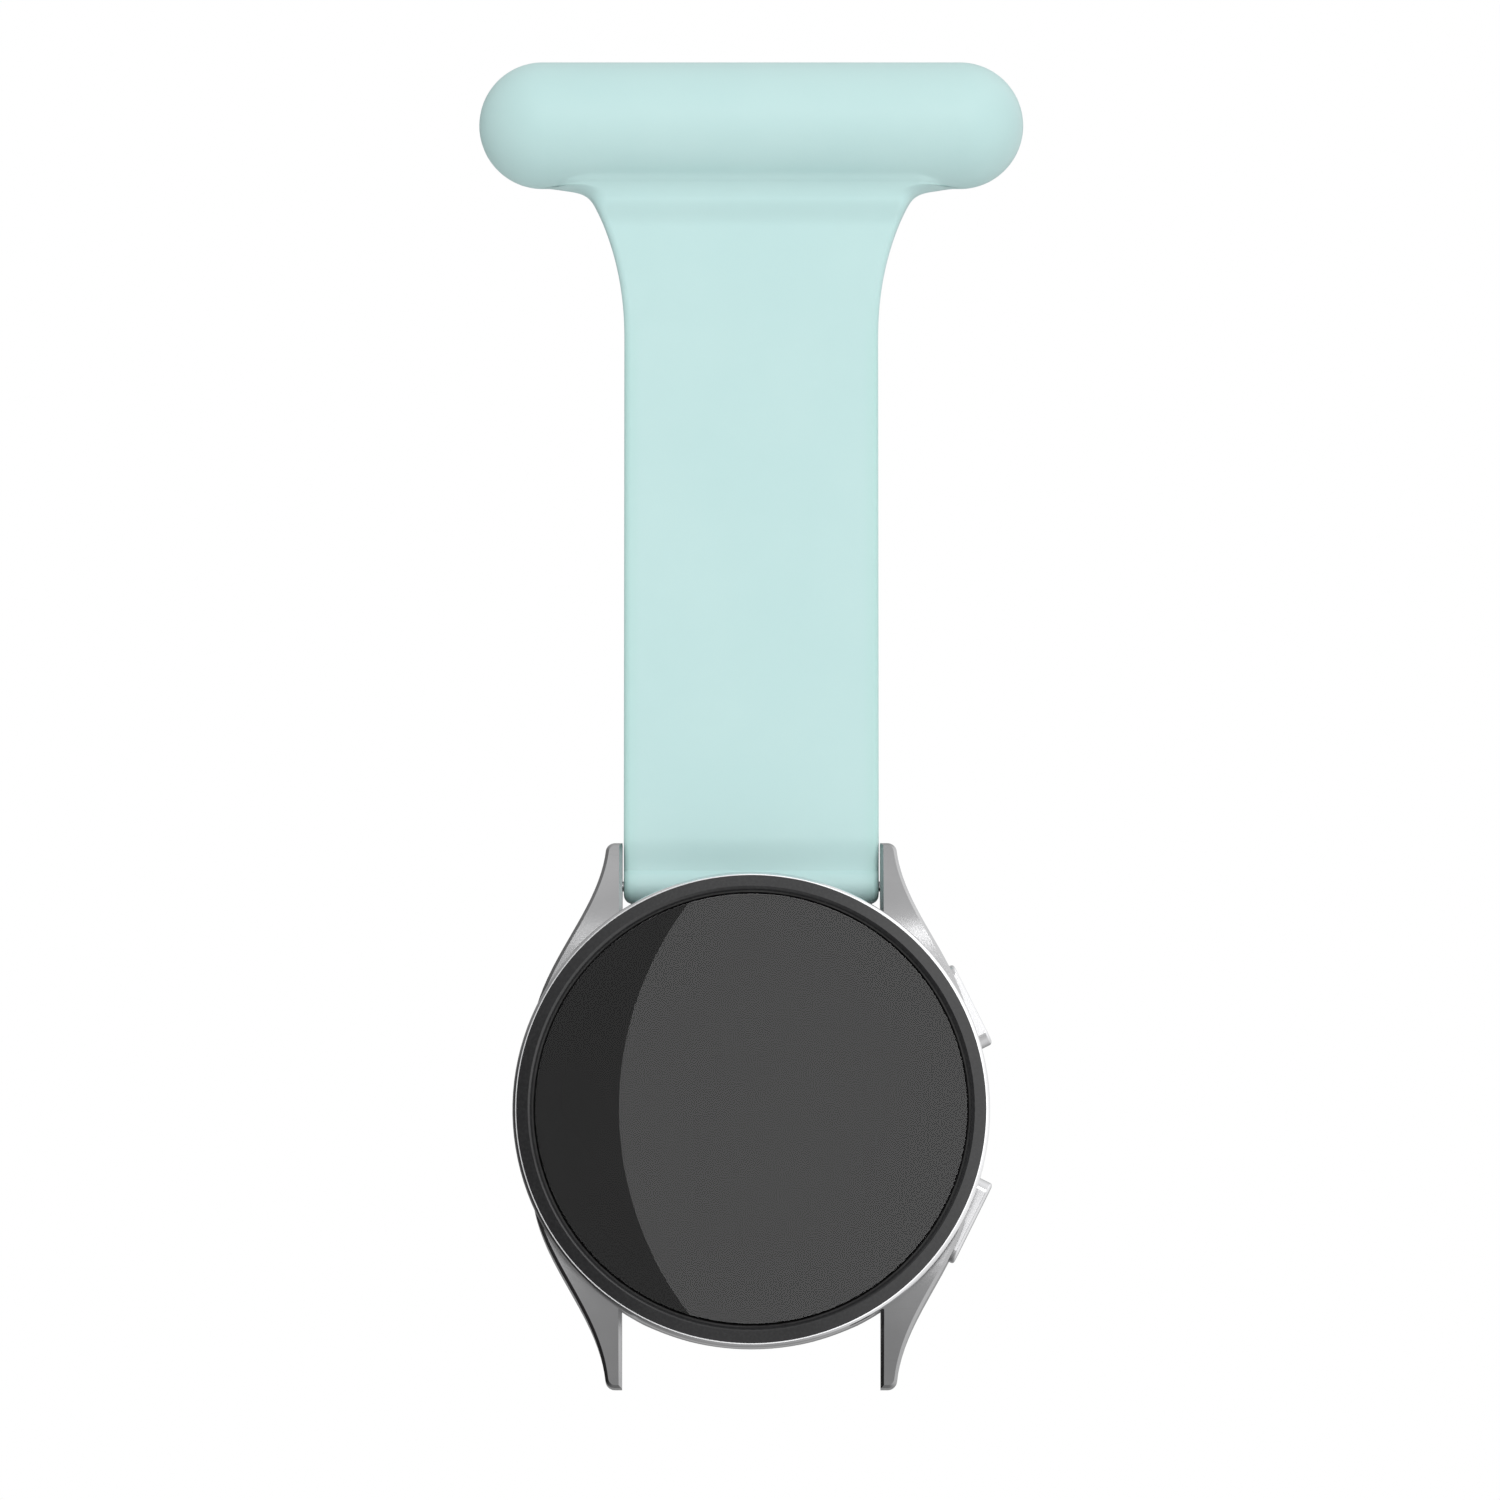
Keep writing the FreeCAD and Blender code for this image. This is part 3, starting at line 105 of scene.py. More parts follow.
class Shader:
    # one material, or the world, being wired up
    def __init__(self, owner, result):
        owner.use_nodes = True
        self.tree = owner.node_tree
        self.tree.nodes.clear()
        self.result = self.tree.nodes.new(result)

    def node(self, kind, settings, values, out=0):
        made = self.tree.nodes.new(kind)
        for name, value in settings.items():
            setattr(made, name, value)
        for name, value in values.items():
            self.feed(made.inputs[name], value)
        return Link(self, made.outputs[out])

    def feed(self, socket, value):
        if isinstance(value, Link):
            self.tree.links.new(value.socket, socket)
        elif socket.type == "RGBA" and len(value) == 3:
            socket.default_value = (*value, 1.0)
        else:
            socket.default_value = value

    def place(self):
        return self.node("ShaderNodeTexCoord", {}, {}, "Object")

    def restPlace(self):
        # where the skin's points lay when it was built
        return self.node("ShaderNodeAttribute", {"attribute_name": "restPlace"}, {}, "Vector")

    def axes(self, vector):
        split = self.node("ShaderNodeSeparateXYZ", {}, {"Vector": vector}).socket.node
        return [Link(self, output) for output in split.outputs]

    def noise(self, vector, scale, detail=2.0, rough=0.5):
        values = {"Vector": vector, "Scale": scale, "Detail": detail, "Roughness": rough}
        return self.node("ShaderNodeTexNoise", {}, values, "Fac")

    def grain(self, vector, scale):
        return self.node("ShaderNodeTexVoronoi", {}, {"Vector": vector, "Scale": scale}, "Distance")

    def stretched(self, vector, scale):
        return self.node("ShaderNodeVectorMath", {"operation": "MULTIPLY"}, {0: vector, 1: scale})

    def mix(self, amount, first, second):
        values = {"Factor": amount, "A": first, "B": second}
        made = self.tree.nodes.new("ShaderNodeMix")
        made.data_type = "RGBA"
        for socket in made.inputs:
            if socket.enabled and socket.name in values:
                self.feed(socket, values[socket.name])
        return Link(self, [o for o in made.outputs if o.enabled][0])

    def bump(self, height, strength, distance):
        values = {"Height": height, "Strength": strength, "Distance": distance}
        return self.node("ShaderNodeBump", {}, values, "Normal")

    def surface(self, values):
        made = self.node("ShaderNodeBsdfPrincipled", {}, values)
        self.feed(self.result.inputs["Surface"], made)


def newShader(name):
    made = bpy.data.materials.new(name)
    return made, Shader(made, "ShaderNodeOutputMaterial")


# one skin over the bar, the strap and the end loop, metres
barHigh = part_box("strap_upper")[1]
loopLow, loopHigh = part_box("strap_lower")
barRadius = barHigh.z        # the bar's axis is the origin's
loopRadius = 0.0014
fob = {
    "barRadius": barRadius,
    "barReach": barHigh.x - barRadius,   # half of the bar's straight part
    "middleY": (loopLow.y + loopHigh.y) / 2,   # plane through the middle of the strap
    "strapHalf": loopHigh.x,
    "strapThick": 0.0022,
    "edgeRound": 0.0005,
    "neckFillet": 0.00225,   # the neck's two curves: how far each goes out at the bar,
    "filletDrop": 0.00033,   # and over what drop it comes in
    "neckFlare": 0.00305,
    "flareDrop": 0.0125,
    "flarePower": 2.3,
    "neckTurn": 147,         # degrees from the bar's top at which the neck leaves its circle
    "neckFoot": 0.0017,      # half thickness where the neck's curve ends
    "neckFootZ": -0.0060,
    "neckPulls": (0.00205, 0.0018),      # half thicknesses that draw the neck's curve in
    "neckThins": 0.0081,     # neck has the strap's thickness from here down
    "neckSquares": (0.0050, 0.0072),     # drop over which the neck's round edge becomes the strap's
    "neckShows": 0.00415,    # drop from which the neck stands out of the bar
    "cornersMeet": (0.0042, 0.00499),    # drop over which the bar's ring takes the neck's corners
    "joint": 0.0009,         # blend of the bar and the neck, and the drop over which it grows
    "jointGrows": (0.00418, 0.0048),
    "creaseStarts": 0.0567,
    "loopZ": loopLow.z + loopRadius,
    "loopRadius": loopRadius,
    "loopNeck": 0.0008,
    "footRound": 0.0008,
    "channel": (0.016, 0.0025, 0.0006),  # half length, half height and corner of the pin's channel
    "channelFloor": -0.00264,  # under the pin's plate
    "channelRim": 0.0003,
    "leverNotch": (0.00475, 0.00715),    # from and to along the loop
    "notchRoom": (0.00055, 0.0002),      # half height and corner
    "notchRim": 0.0001,
}
# how closely the skin's rings and the points round them are spaced
rings = {
    "barTurns": (3, 57, 63, 117, 123, 178),     # degrees from the bar's top, close at the channel's edges
    "barSteps": (20, 13, 20, 13, 34),
    "neckTop": -0.005003,
    "neckDrop": 0.0032,
    "neckSteps": 26,
    "neckCrowds": 1.6,       # power that crowds them under the bar
    "strapBreaks": (-0.0082, -0.0175, -0.0560),
    "strapSteps": (18, 46, 16),
    "loopTurn": 176,
    "loopSteps": 44,
    "cornerSteps": 16,
    "flatBreaks": (-1, -0.93, 0.93, 1),         # shares of the flat part, close at its ends
    "flatSteps": (14, 106, 14),
    "channelAbove": -0.0035,     # only rings above this one can reach the channel
    "notchBelow": -0.0590,
}
tiny = 1e-12


def stretches(breaks, steps):
    # even steps from each break to the next, with every break once
    runs = [np.linspace(a, b, n)[:-1] for a, b, n in zip(breaks, breaks[1:], steps)]
    return np.concatenate(runs + [np.array(breaks[-1:])])


def fobRows():
    # heights of the rings from the bar's top to the foot, closer together where the shape turns
    turns = np.radians(stretches(rings["barTurns"], rings["barSteps"]))
    barZ = fob["barRadius"] * np.cos(turns)
    neckShare = np.linspace(0, 1, rings["neckSteps"]) ** rings["neckCrowds"]
    neckZ = rings["neckTop"] - rings["neckDrop"] * neckShare
    crease = fob["loopZ"] + fob["loopRadius"]
    strapZ = stretches((*rings["strapBreaks"], crease), rings["strapSteps"])[1:]
    loop = np.radians(np.linspace(0, rings["loopTurn"], rings["loopSteps"]))[1:]
    loopZ = fob["loopZ"] + fob["loopRadius"] * np.cos(loop)
    return np.concatenate([barZ, neckZ, strapZ, loopZ])


def smooth(x, low, high):
    t = np.clip((x - low) / (high - low), 0, 1)
    return t * t * (3 - 2 * t)


def barThickness(z):
    # circle about z = 0
    return np.sqrt(np.clip(fob["barRadius"] ** 2 - z * z, tiny, None))


def strapThickness(z):
    # neck: leaves the bar's circle along a cubic curve and thins to the strap.
    # Strap: even, thinning to a crease, then a circle about the spring bar
    r = fob["barRadius"]
    strap, foot = fob["strapThick"] / 2, fob["neckFoot"]
    turn = math.radians(fob["neckTurn"])
    neckTop, start = r * math.cos(turn), r * math.sin(turn)
    first, second = fob["neckPulls"]
    t = np.clip((neckTop - z) / (neckTop - fob["neckFootZ"]), 0, 1)
    pulled = 3 * first * t * (1 - t) ** 2 + 3 * second * t * t * (1 - t)
    neck = start * (1 - t) ** 3 + pulled + foot * t ** 3
    taper = foot + (strap - foot) * smooth(-z, -fob["neckFootZ"], fob["neckThins"])
    crease = fob["loopZ"] + fob["loopRadius"]
    even = strap + (fob["loopNeck"] - strap) * smooth(-z, fob["creaseStarts"], -crease)
    out = fob["loopZ"] - z
    loop = np.sqrt(np.clip(fob["loopRadius"] ** 2 - out ** 2, tiny, None))
    folded = np.maximum(loop, np.where(z > fob["loopZ"], fob["loopNeck"], 0))
    lower = np.where(z < crease, folded, even)
    return np.where(z < -fob["neckThins"], lower, np.where(z > fob["neckFootZ"], neck, taper))


def strapWidth(z):
    # strap's half width, plus a fillet under the bar that dies away by e for each filletDrop,
    # plus a flare that falls with a power of what is left of its drop. Foot's corners are round
    drop = np.maximum(-z - fob["barRadius"], 0)
    flare = fob["neckFlare"] * np.clip(1 - drop / fob["flareDrop"], 0, 1) ** fob["flarePower"]
    edge = fob["strapHalf"] + fob["neckFillet"] * np.exp(-drop / fob["filletDrop"]) + flare
    foot = fob["loopZ"] - fob["loopRadius"]
    c = fob["footRound"]
    corner = np.clip(foot + c - z, 0, c)
    return edge - (c - np.sqrt(np.clip(c * c - corner * corner, 0, None)))


def fobRing(z):
    # a rounded rectangle seen from above: quarter turns at its ends, flat between.
    # Points k and their mirrors behind share one x, so the ends of the stack close as ladders
    inBar = (z > -fob["barRadius"])[:, None]
    bar, strap = barThickness(z)[:, None], strapThickness(z)[:, None]
    half = np.where(inBar, bar, strap)
    width = np.where(inBar, fob["barReach"] + bar, strapWidth(z)[:, None])
    edgeRound = np.minimum(fob["edgeRound"], strap)
    neckRound = strap + (edgeRound - strap) * smooth(-z, *fob["neckSquares"])[:, None]
    neckHalf = fob["strapHalf"] + fob["neckFillet"] + fob["neckFlare"]
    flare = neckHalf - strap
    lean = smooth(-z, *fob["cornersMeet"])[:, None]
    corner = np.where(inBar, width - (fob["barReach"] + (flare - fob["barReach"]) * lean), neckRound)
    u = np.linspace(0, 1, rings["cornerSteps"] + 1)[None, :]
    side = np.where(inBar, 0, half - corner)
    along = u * (side + corner * math.pi / 2)
    angle = np.clip((along - side) / corner, 0, math.pi / 2)
    endX = -width + corner * (1 - np.cos(angle))
    endH = np.minimum(along, side) + corner * np.sin(angle)
    share = stretches(rings["flatBreaks"], rings["flatSteps"])[1:-1]
    flatX = (width - corner) * share[None, :]
    flatH = np.repeat(half, share.size, axis=1)
    x = np.concatenate([endX, flatX, -endX[:, ::-1]], axis=1)
    h = np.concatenate([endH, flatH, endH[:, ::-1]], axis=1)
    # over the bar's rings: its round ends, and the neck where that stands out of it
    past = np.maximum(np.abs(x) - fob["barReach"], 0)
    barH = np.sqrt(np.clip(bar ** 2 - past ** 2, 0, None))
    neckPast = np.clip((np.abs(x) - flare) / strap, 0, 1)
    neckH = strap * np.sqrt(1 - neckPast ** 2) * (z < -fob["neckShows"])[:, None]
    fillet = fob["joint"] * smooth(-z, *fob["jointGrows"])[:, None] + 1e-9
    joined = np.maximum(barH, neckH)
    near = np.maximum(fillet - np.abs(barH - neckH), 0) ** 2 / (4 * fillet)
    joined = joined + near * np.clip(np.minimum(barH, neckH) / fillet, 0, 1)
    return x, np.where(inBar, joined, h)


def outside(x, z, halfX, halfZ, corner):
    # distance from a rounded rectangle's edge, positive outside it
    dx, dz = np.abs(x) - halfX + corner, np.abs(z) - halfZ + corner
    return np.hypot(np.maximum(dx, 0), np.maximum(dz, 0)) + np.minimum(np.maximum(dx, dz), 0) - corner


def sunk(y, gap, floor, rim):
    # carries points inside the edge down to the floor and rounds the rim outside it
    t = np.clip(gap, 0, rim)
    turned = y - rim + np.sqrt(np.clip(rim ** 2 - (rim - t) ** 2, 0, None))
    return np.where(gap < 0, np.minimum(floor, y), np.where(gap < rim, np.maximum(turned, floor), y))


def gridMesh(name, points, quads):
    mesh = bpy.data.meshes.new(name)
    mesh.from_pydata(points, [], quads)
    mesh.update()
    mesh.shade_smooth()
    made = bpy.data.objects.new(name, mesh)
    bpy.context.scene.collection.objects.link(made)
    return made


def makeFob():
    z = fobRows()
    x, h = fobRing(z)
    rows, across = x.shape
    zz = np.repeat(z[:, None], across, axis=1)
    front = fob["middleY"] - h
    back = fob["middleY"] + h
    gap = outside(x, zz, *fob["channel"])
    carved = sunk(back, gap, fob["channelFloor"], fob["channelRim"])
    back = np.where(zz > rings["channelAbove"], carved, back)
    low, high = fob["leverNotch"]
    gap = outside(x - (low + high) / 2, zz - fob["loopZ"], (high - low) / 2, *fob["notchRoom"])
    back = np.where(zz < rings["notchBelow"], sunk(back, gap, fob["middleY"], fob["notchRim"]), back)
    # the ring: front points from left to right, then back points without the two shared ends
    ring = 2 * across - 2
    px = np.concatenate([x, x[:, -2:0:-1]], axis=1)
    py = np.concatenate([front, back[:, -2:0:-1]], axis=1)
    pz = np.concatenate([zz, zz[:, -2:0:-1]], axis=1)
    points = np.stack([px, py, pz], axis=-1).reshape(-1, 3)
    i = np.arange(rows - 1)[:, None]
    j = np.arange(ring)[None, :]
    k = (j + 1) % ring
    row, nextRow = i * ring, (i + 1) * ring
    wall = np.stack([row + j, nextRow + j, nextRow + k, row + k], axis=-1).reshape(-1, 4)
    j = np.arange(across - 1)
    mirrored = (ring - j) % ring
    nextMirrored = (ring - j - 1) % ring
    ladder = np.stack([j, j + 1, nextMirrored, mirrored], axis=-1)
    lastRow = (rows - 1) * ring
    bottom = lastRow + ladder[:, ::-1]
    quads = np.concatenate([wall, ladder[1:-1], bottom[1:-1]])
    ends = [[0, 1, ring - 1], [across - 2, across - 1, across]]
    faces = quads.tolist() + ends + [[lastRow + c for c in e[::-1]] for e in ends]
    made = gridMesh("siliconeFob", points.tolist(), faces)
    rest = made.data.attributes.new("restPlace", "FLOAT_VECTOR", "POINT")
    rest.data.foreach_set("vector", points.ravel())
    return made


skin = makeFob()
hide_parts("strap_upper", "strap_lower")
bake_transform(skin)
print("silicone fob:", len(skin.data.polygons), "faces")


silicone = {
    "colour": (0.530, 0.752, 0.742),
    "edgeShade": (0.470, 0.735, 0.690),     # painted shade, darker and greener towards the strap's edges
    "pale": (0.550, 0.768, 0.756),
    "speck": (0.70, 0.80, 0.78),
    "roughness": 0.40,
    "cloudScale": 90.0,
    "mouldScale": 5200.0,
    "speckScale": 900.0,
    "edgeShadeAmount": 0.55,
    "edgeShadeFrom": (0.0085, 0.0100),      # distance from the middle
    "edgeShadeUntil": (-0.020, -0.012),     # height under which there is none
    "partingLine": (0.00003, 0.00009),
    "bump": (0.10, 0.00004),
}


def siliconeFinish():
    made, s = newShader("mintSilicone")
    place = s.restPlace()
    x, y, z = s.axes(place)
    cloud = s.noise(place, silicone["cloudScale"], 3.0)
    mould = s.noise(place, silicone["mouldScale"], 2.0)
    speck = s.grain(place, silicone["speckScale"]).fade(0.02, 0.05, 1.0, 0.0)
    # painted shade: the tone darkens towards the strap's sides, below the neck
    edge = abs(x).fade(*silicone["edgeShadeFrom"]) * z.fade(*silicone["edgeShadeUntil"], 1.0, 0.0)
    tone = s.mix(cloud.fade(0.3, 0.7), silicone["colour"], silicone["pale"])
    tone = s.mix(edge * silicone["edgeShadeAmount"], tone, silicone["edgeShade"])
    tone = s.mix(speck * 0.12, tone, silicone["speck"])
    partingLine = abs(y - fob["middleY"]).fade(*silicone["partingLine"], 1.0, 0.0)
    height = mould * 0.5 + partingLine * 0.8
    smoothest, roughest = silicone["roughness"] - 0.04, silicone["roughness"] + 0.05
    s.surface({
        "Base Color": tone,
        "Roughness": cloud.fade(0.2, 0.8, smoothest, roughest),
        "Normal": s.bump(height, *silicone["bump"]),
        "Subsurface Weight": 0.12,
        "Subsurface Radius": (1.0, 1.1, 1.1),
        "Subsurface Scale": 0.0006,
        "Specular IOR Level": 0.42,
    })
    return made


metals = {
    "caseMetal": {"colour": (0.42, 0.42, 0.425), "dark": (0.35, 0.35, 0.355), "roughness": 0.22,
                  "grain": 9000.0, "bump": 0.10},
    "keyMetal": {"colour": (0.66, 0.66, 0.67), "dark": (0.56, 0.56, 0.57), "roughness": 0.22,
                 "grain": 9000.0, "bump": 0.07},
    "bezelMetal": {"colour": (0.80, 0.80, 0.81), "dark": (0.70, 0.70, 0.71), "roughness": 0.12,
                   "grain": 7000.0, "bump": 0.03},
    "pinSteel": {"colour": (0.70, 0.70, 0.71), "dark": (0.48, 0.48, 0.49), "roughness": 0.24,
                 "grain": 5000.0, "bump": 0.10},
    "barSteel": {"colour": (0.62, 0.62, 0.63), "dark": (0.45, 0.45, 0.46), "roughness": 0.30,
                 "grain": 6000.0, "bump": 0.12},
    "plateSteel": {"colour": (0.030, 0.030, 0.032), "dark": (0.018, 0.018, 0.019), "roughness": 0.45,
                   "grain": 4000.0, "bump": 0.15},
    "motorSteel": {"colour": (0.60, 0.60, 0.61), "dark": (0.48, 0.48, 0.49), "roughness": 0.28,
                   "grain": 4000.0, "bump": 0.12},
    "electrodeMetal": {"colour": (0.44, 0.44, 0.46), "dark": (0.34, 0.34, 0.36), "roughness": 0.20,
                       "grain": 7000.0, "bump": 0.05},
    "copperWire": {"colour": (0.72, 0.34, 0.16), "dark": (0.50, 0.20, 0.08), "roughness": 0.30,
                   "grain": 8000.0, "bump": 0.10},
    "cellFoil": {"colour": (0.68, 0.68, 0.70), "dark": (0.58, 0.58, 0.60), "roughness": 0.36,
                 "grain": 1500.0, "bump": 0.25},
}


# scales of the wear that every metal or every plastic shares
wear = {
    "metalWide": 160.0,
    "turning": (700.0, 5200.0, 700.0),
    "scratches": (300.0, 300.0, 6000.0),
    "plasticWide": 220.0,
    "dust": 1100.0,
}


def metalFinish(name):
    look = metals[name]
    made, s = newShader(name)
    place = s.place()
    blasted = s.noise(place, look["grain"], 2.0, 0.6)
    wide = s.noise(place, wear["metalWide"], 3.0)
    turned = s.noise(s.stretched(place, wear["turning"]), 1.0, 2.0)
    scratch = s.noise(s.stretched(place, wear["scratches"]), 1.0, 1.0).fade(0.66, 0.72)
    smoothest, roughest = look["roughness"] - 0.03, look["roughness"] + 0.04
    s.surface({
        "Base Color": s.mix(wide.fade(0.3, 0.7) * 0.7 + scratch * 0.2, look["colour"], look["dark"]),
        "Metallic": 1.0,
        "Roughness": wide.fade(0.25, 0.75, smoothest, roughest) + turned * 0.02,
        "Normal": s.bump(blasted + scratch * 0.3, look["bump"], 0.00002),
    })
    return made


plastics = {
    "trimBlack": {"colour": (0.022, 0.022, 0.023), "pale": (0.030, 0.030, 0.031), "roughness": 0.09,
                  "grain": 4000.0, "bump": 0.02},
    "sealRubber": {"colour": (0.012, 0.012, 0.012), "pale": (0.022, 0.022, 0.022), "roughness": 0.62,
                   "grain": 7000.0, "bump": 0.30},
    "bondBlack": {"colour": (0.020, 0.020, 0.020), "pale": (0.030, 0.030, 0.030), "roughness": 0.55,
                  "grain": 3000.0, "bump": 0.15},
    "ribbonAmber": {"colour": (0.45, 0.19, 0.035), "pale": (0.58, 0.28, 0.06), "roughness": 0.38,
                    "grain": 2500.0, "bump": 0.10},
    "rearShell": {"colour": (0.040, 0.040, 0.043), "pale": (0.055, 0.055, 0.060), "roughness": 0.30,
                  "grain": 6000.0, "bump": 0.12},
    "chipBlack": {"colour": (0.022, 0.022, 0.023), "pale": (0.040, 0.040, 0.041), "roughness": 0.50,
                  "grain": 8000.0, "bump": 0.25},
    "lampClear": {"colour": (0.62, 0.66, 0.52), "pale": (0.80, 0.82, 0.72), "roughness": 0.15,
                  "grain": 3000.0, "bump": 0.05},
    "ferriteGrey": {"colour": (0.070, 0.068, 0.066), "pale": (0.110, 0.105, 0.100), "roughness": 0.70,
                    "grain": 5000.0, "bump": 0.30},
    "foamBlack": {"colour": (0.025, 0.025, 0.026), "pale": (0.060, 0.060, 0.062), "roughness": 0.85,
                  "grain": 2600.0, "bump": 0.60},
    "trayPlastic": {"colour": (0.045, 0.045, 0.047), "pale": (0.070, 0.070, 0.072), "roughness": 0.48,
                    "grain": 5000.0, "bump": 0.20},
}


def plasticFinish(name):
    look = plastics[name]
    made, s = newShader(name)
    place = s.place()
    fine = s.noise(place, look["grain"], 3.0, 0.6)
    wide = s.noise(place, wear["plasticWide"], 2.0)
    dust = s.grain(place, wear["dust"]).fade(0.015, 0.04, 1.0, 0.0)
    smoothest, roughest = look["roughness"] * 0.85, look["roughness"] * 1.15
    s.surface({
        "Base Color": s.mix(fine.fade(0.35, 0.75), look["colour"], look["pale"]),
        "Roughness": wide.fade(0.25, 0.75, smoothest, roughest) + dust * 0.03,
        "Normal": s.bump(fine, look["bump"], 0.00002),
    })
    return made


glass = {
    "tint": (0.93, 0.95, 0.96),
    "smeared": (0.96, 0.97, 0.97),
    "ior": 1.5,
    "panel": (0.0006, 0.0006, 0.0007),
    "panelCloud": (0.0011, 0.0011, 0.0012),
    "rear": (0.30, 0.29, 0.30),
    "rearSmeared": (0.36, 0.35, 0.36),
    "rearIor": 1.45,
}


def glassFinish():
    made, s = newShader("domeGlass")
    place = s.place()
    smear = s.noise(place, 130.0, 3.0, 0.6)
    s.surface({
        "Base Color": s.mix(smear.fade(0.4, 0.8), glass["tint"], glass["smeared"]),
        "Roughness": smear.fade(0.45, 0.8, 0.0, 0.006),
        "Transmission Weight": 1.0,
        "IOR": glass["ior"],
    })
    return made


def panelFinish(name, roughness):
    # near black, with a faint cloudiness
    made, s = newShader(name)
    place = s.place()
    cloud = s.noise(place, 320.0, 3.0)
    s.surface({
        "Base Color": s.mix(cloud.fade(0.35, 0.7), glass["panel"], glass["panelCloud"]),
        "Roughness": cloud.fade(0.2, 0.8, roughness, roughness + 0.08),
        "Specular IOR Level": 0.0,
    })
    return made


def rearGlassFinish():
    made, s = newShader("rearGlass")
    place = s.place()
    smear = s.noise(place, 160.0, 3.0)
    s.surface({
        "Base Color": s.mix(smear.fade(0.3, 0.7), glass["rear"], glass["rearSmeared"]),
        "Roughness": smear.fade(0.3, 0.8, 0.01, 0.05),
        "Transmission Weight": 0.85,
        "IOR": glass["rearIor"],
    })
    return made


board = {
    "mask": (0.012, 0.075, 0.038),
    "track": (0.025, 0.13, 0.065),
    "pad": (0.62, 0.50, 0.22),
    "trackScale": 5200.0,
    "wander": 9.0,
    "padScale": 780.0,
}


def boardFinish():
    # green mask with small pads and with fine tracks: a sine along x that noise bends
    made, s = newShader("boardGreen")
    place = s.place()
    x = s.axes(place)[0]
    bend = s.noise(place, 260.0) * board["wander"]
    tracks = (x * board["trackScale"] + bend).wave().fade(0.55, 0.8)
    pads = s.grain(place, board["padScale"]).fade(0.16, 0.2, 1.0, 0.0)
    tone = s.mix(tracks * 0.6, board["mask"], board["track"])
    s.surface({
        "Base Color": s.mix(pads * 0.8, tone, board["pad"]),
        "Metallic": pads * 0.8,
        "Roughness": tracks.fade(0.0, 1.0, 0.42, 0.34),
        "Normal": s.bump(tracks, 0.15, 0.00002),
    })
    return made


finishOf = {
    "silicone": siliconeFinish(), "cover_glass": glassFinish(), "panel_black": panelFinish("darkPanel", 0.35),
    "rear_glass": rearGlassFinish(), "board": boardFinish(),
}
metalOf = {
    "case_metal": "caseMetal", "bezel_metal": "bezelMetal", "pin_steel": "pinSteel",
    "bar_steel": "barSteel", "plate_steel": "plateSteel", "motor_steel": "motorSteel",
    "electrode": "electrodeMetal", "copper": "copperWire", "cell_foil": "cellFoil",
}
plasticOf = {
    "trim_black": "trimBlack", "seal_rubber": "sealRubber", "bond": "bondBlack", "ribbon": "ribbonAmber",
    "rear_shell": "rearShell", "chip": "chipBlack", "lamp": "lampClear", "ferrite": "ferriteGrey",
    "foam": "foamBlack", "tray_plastic": "trayPlastic",
}
finishOf.update({slot: metalFinish(name) for slot, name in metalOf.items()})
finishOf.update({slot: plasticFinish(name) for slot, name in plasticOf.items()})
keyMetal = metalFinish("keyMetal")
skin.data.materials.append(finishOf["silicone"])
for part in frame["record"]["subparts"]:
    shown = nodes[part["node"]]
    key = part["node"] in ("upper_button", "lower_button")
    for held in shown.material_slots:
        held.material = keyMetal if key else finishOf[part["material_slot"]]
print("finishes:", len(finishOf) + 1)


border = {"width": 0.0020, "inset": 0.00015, "thick": 0.00002, "lift": 0.00003, "around": 256}


def makeBorder():
    # a thin washer: its four edges carried round the watch's middle
    low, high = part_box("cover_glass")
    outer = (high.x - low.x) / 2 - border["inset"]
    back = high.y - border["lift"]
    radii = np.array([outer, outer, outer - border["width"], outer - border["width"]])
    ys = np.array([back, back - border["thick"], back - border["thick"], back])
    turn = np.linspace(0, 2 * math.pi, border["around"], endpoint=False)[:, None]
    x = radii * np.cos(turn)
    z = (low.z + high.z) / 2 + radii * np.sin(turn)
    points = np.stack([x, np.broadcast_to(ys, x.shape), z], axis=-1).reshape(-1, 3)
    i = np.arange(border["around"])[:, None]
    k = np.arange(4)[None, :]
    nextI, nextK = (i + 1) % border["around"], (k + 1) % 4
    sides = [i * 4 + k, i * 4 + nextK, nextI * 4 + nextK, nextI * 4 + k]
    quads = np.stack(sides, axis=-1).reshape(-1, 4)
    made = gridMesh("glassBorder", points.tolist(), quads.tolist())
    made.data.shade_flat()
    return made


rim = makeBorder()
rim.data.materials.append(panelFinish("borderInk", 0.36))
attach(rim, "watch")
print("glass border ready")


studio = {
    "floorDrop": 0.12,
    "allRound": 0.66,     # even light on the silicone
    "ahead": 0.62,        # what polished surfaces see: ahead, behind, left and right
    "behind": 0.36,
    "leftDark": 0.10,
    "rightBright": 1.15,
    "underneath": 0.84,
    "overhead": 0.35,
    # from and to, along the direction looked in, of each change in that light
    "spans": {"facing": (-0.5, 0.5), "left": (-0.75, -0.10), "right": (0.10, 0.70),
              "above": (0.15, 0.8), "below": (-0.6, -0.08)},
    "backdrop": 1.0,
    "distance": 1.0,
    "elevation": -7.0,
    "frameWidth": 0.1176,   # what the picture spans at the object
    "aim": (-0.0001, -0.006, 0.0500),   # its height counts from the lowest point
    "floorReach": 2.5,
    "discAway": 0.29,       # disc light's place in front of the glass
    "discAside": 0.0159,    # its mirror image's place and radius on the glass
    "discRadius": 0.0262,
    "discBrightness": 1.15,
    # place, size and brightness of each soft panel
    "panels": {
        "softAbove": ((0.10, -0.66, 0.36), 0.50, 2.1),
        "softBelow": ((0.10, -0.62, -0.50), 0.50, 1.35),
        "softFront": ((0.16, -0.92, 0.24), 0.20, 7.0),
    },
}
lowest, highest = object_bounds()


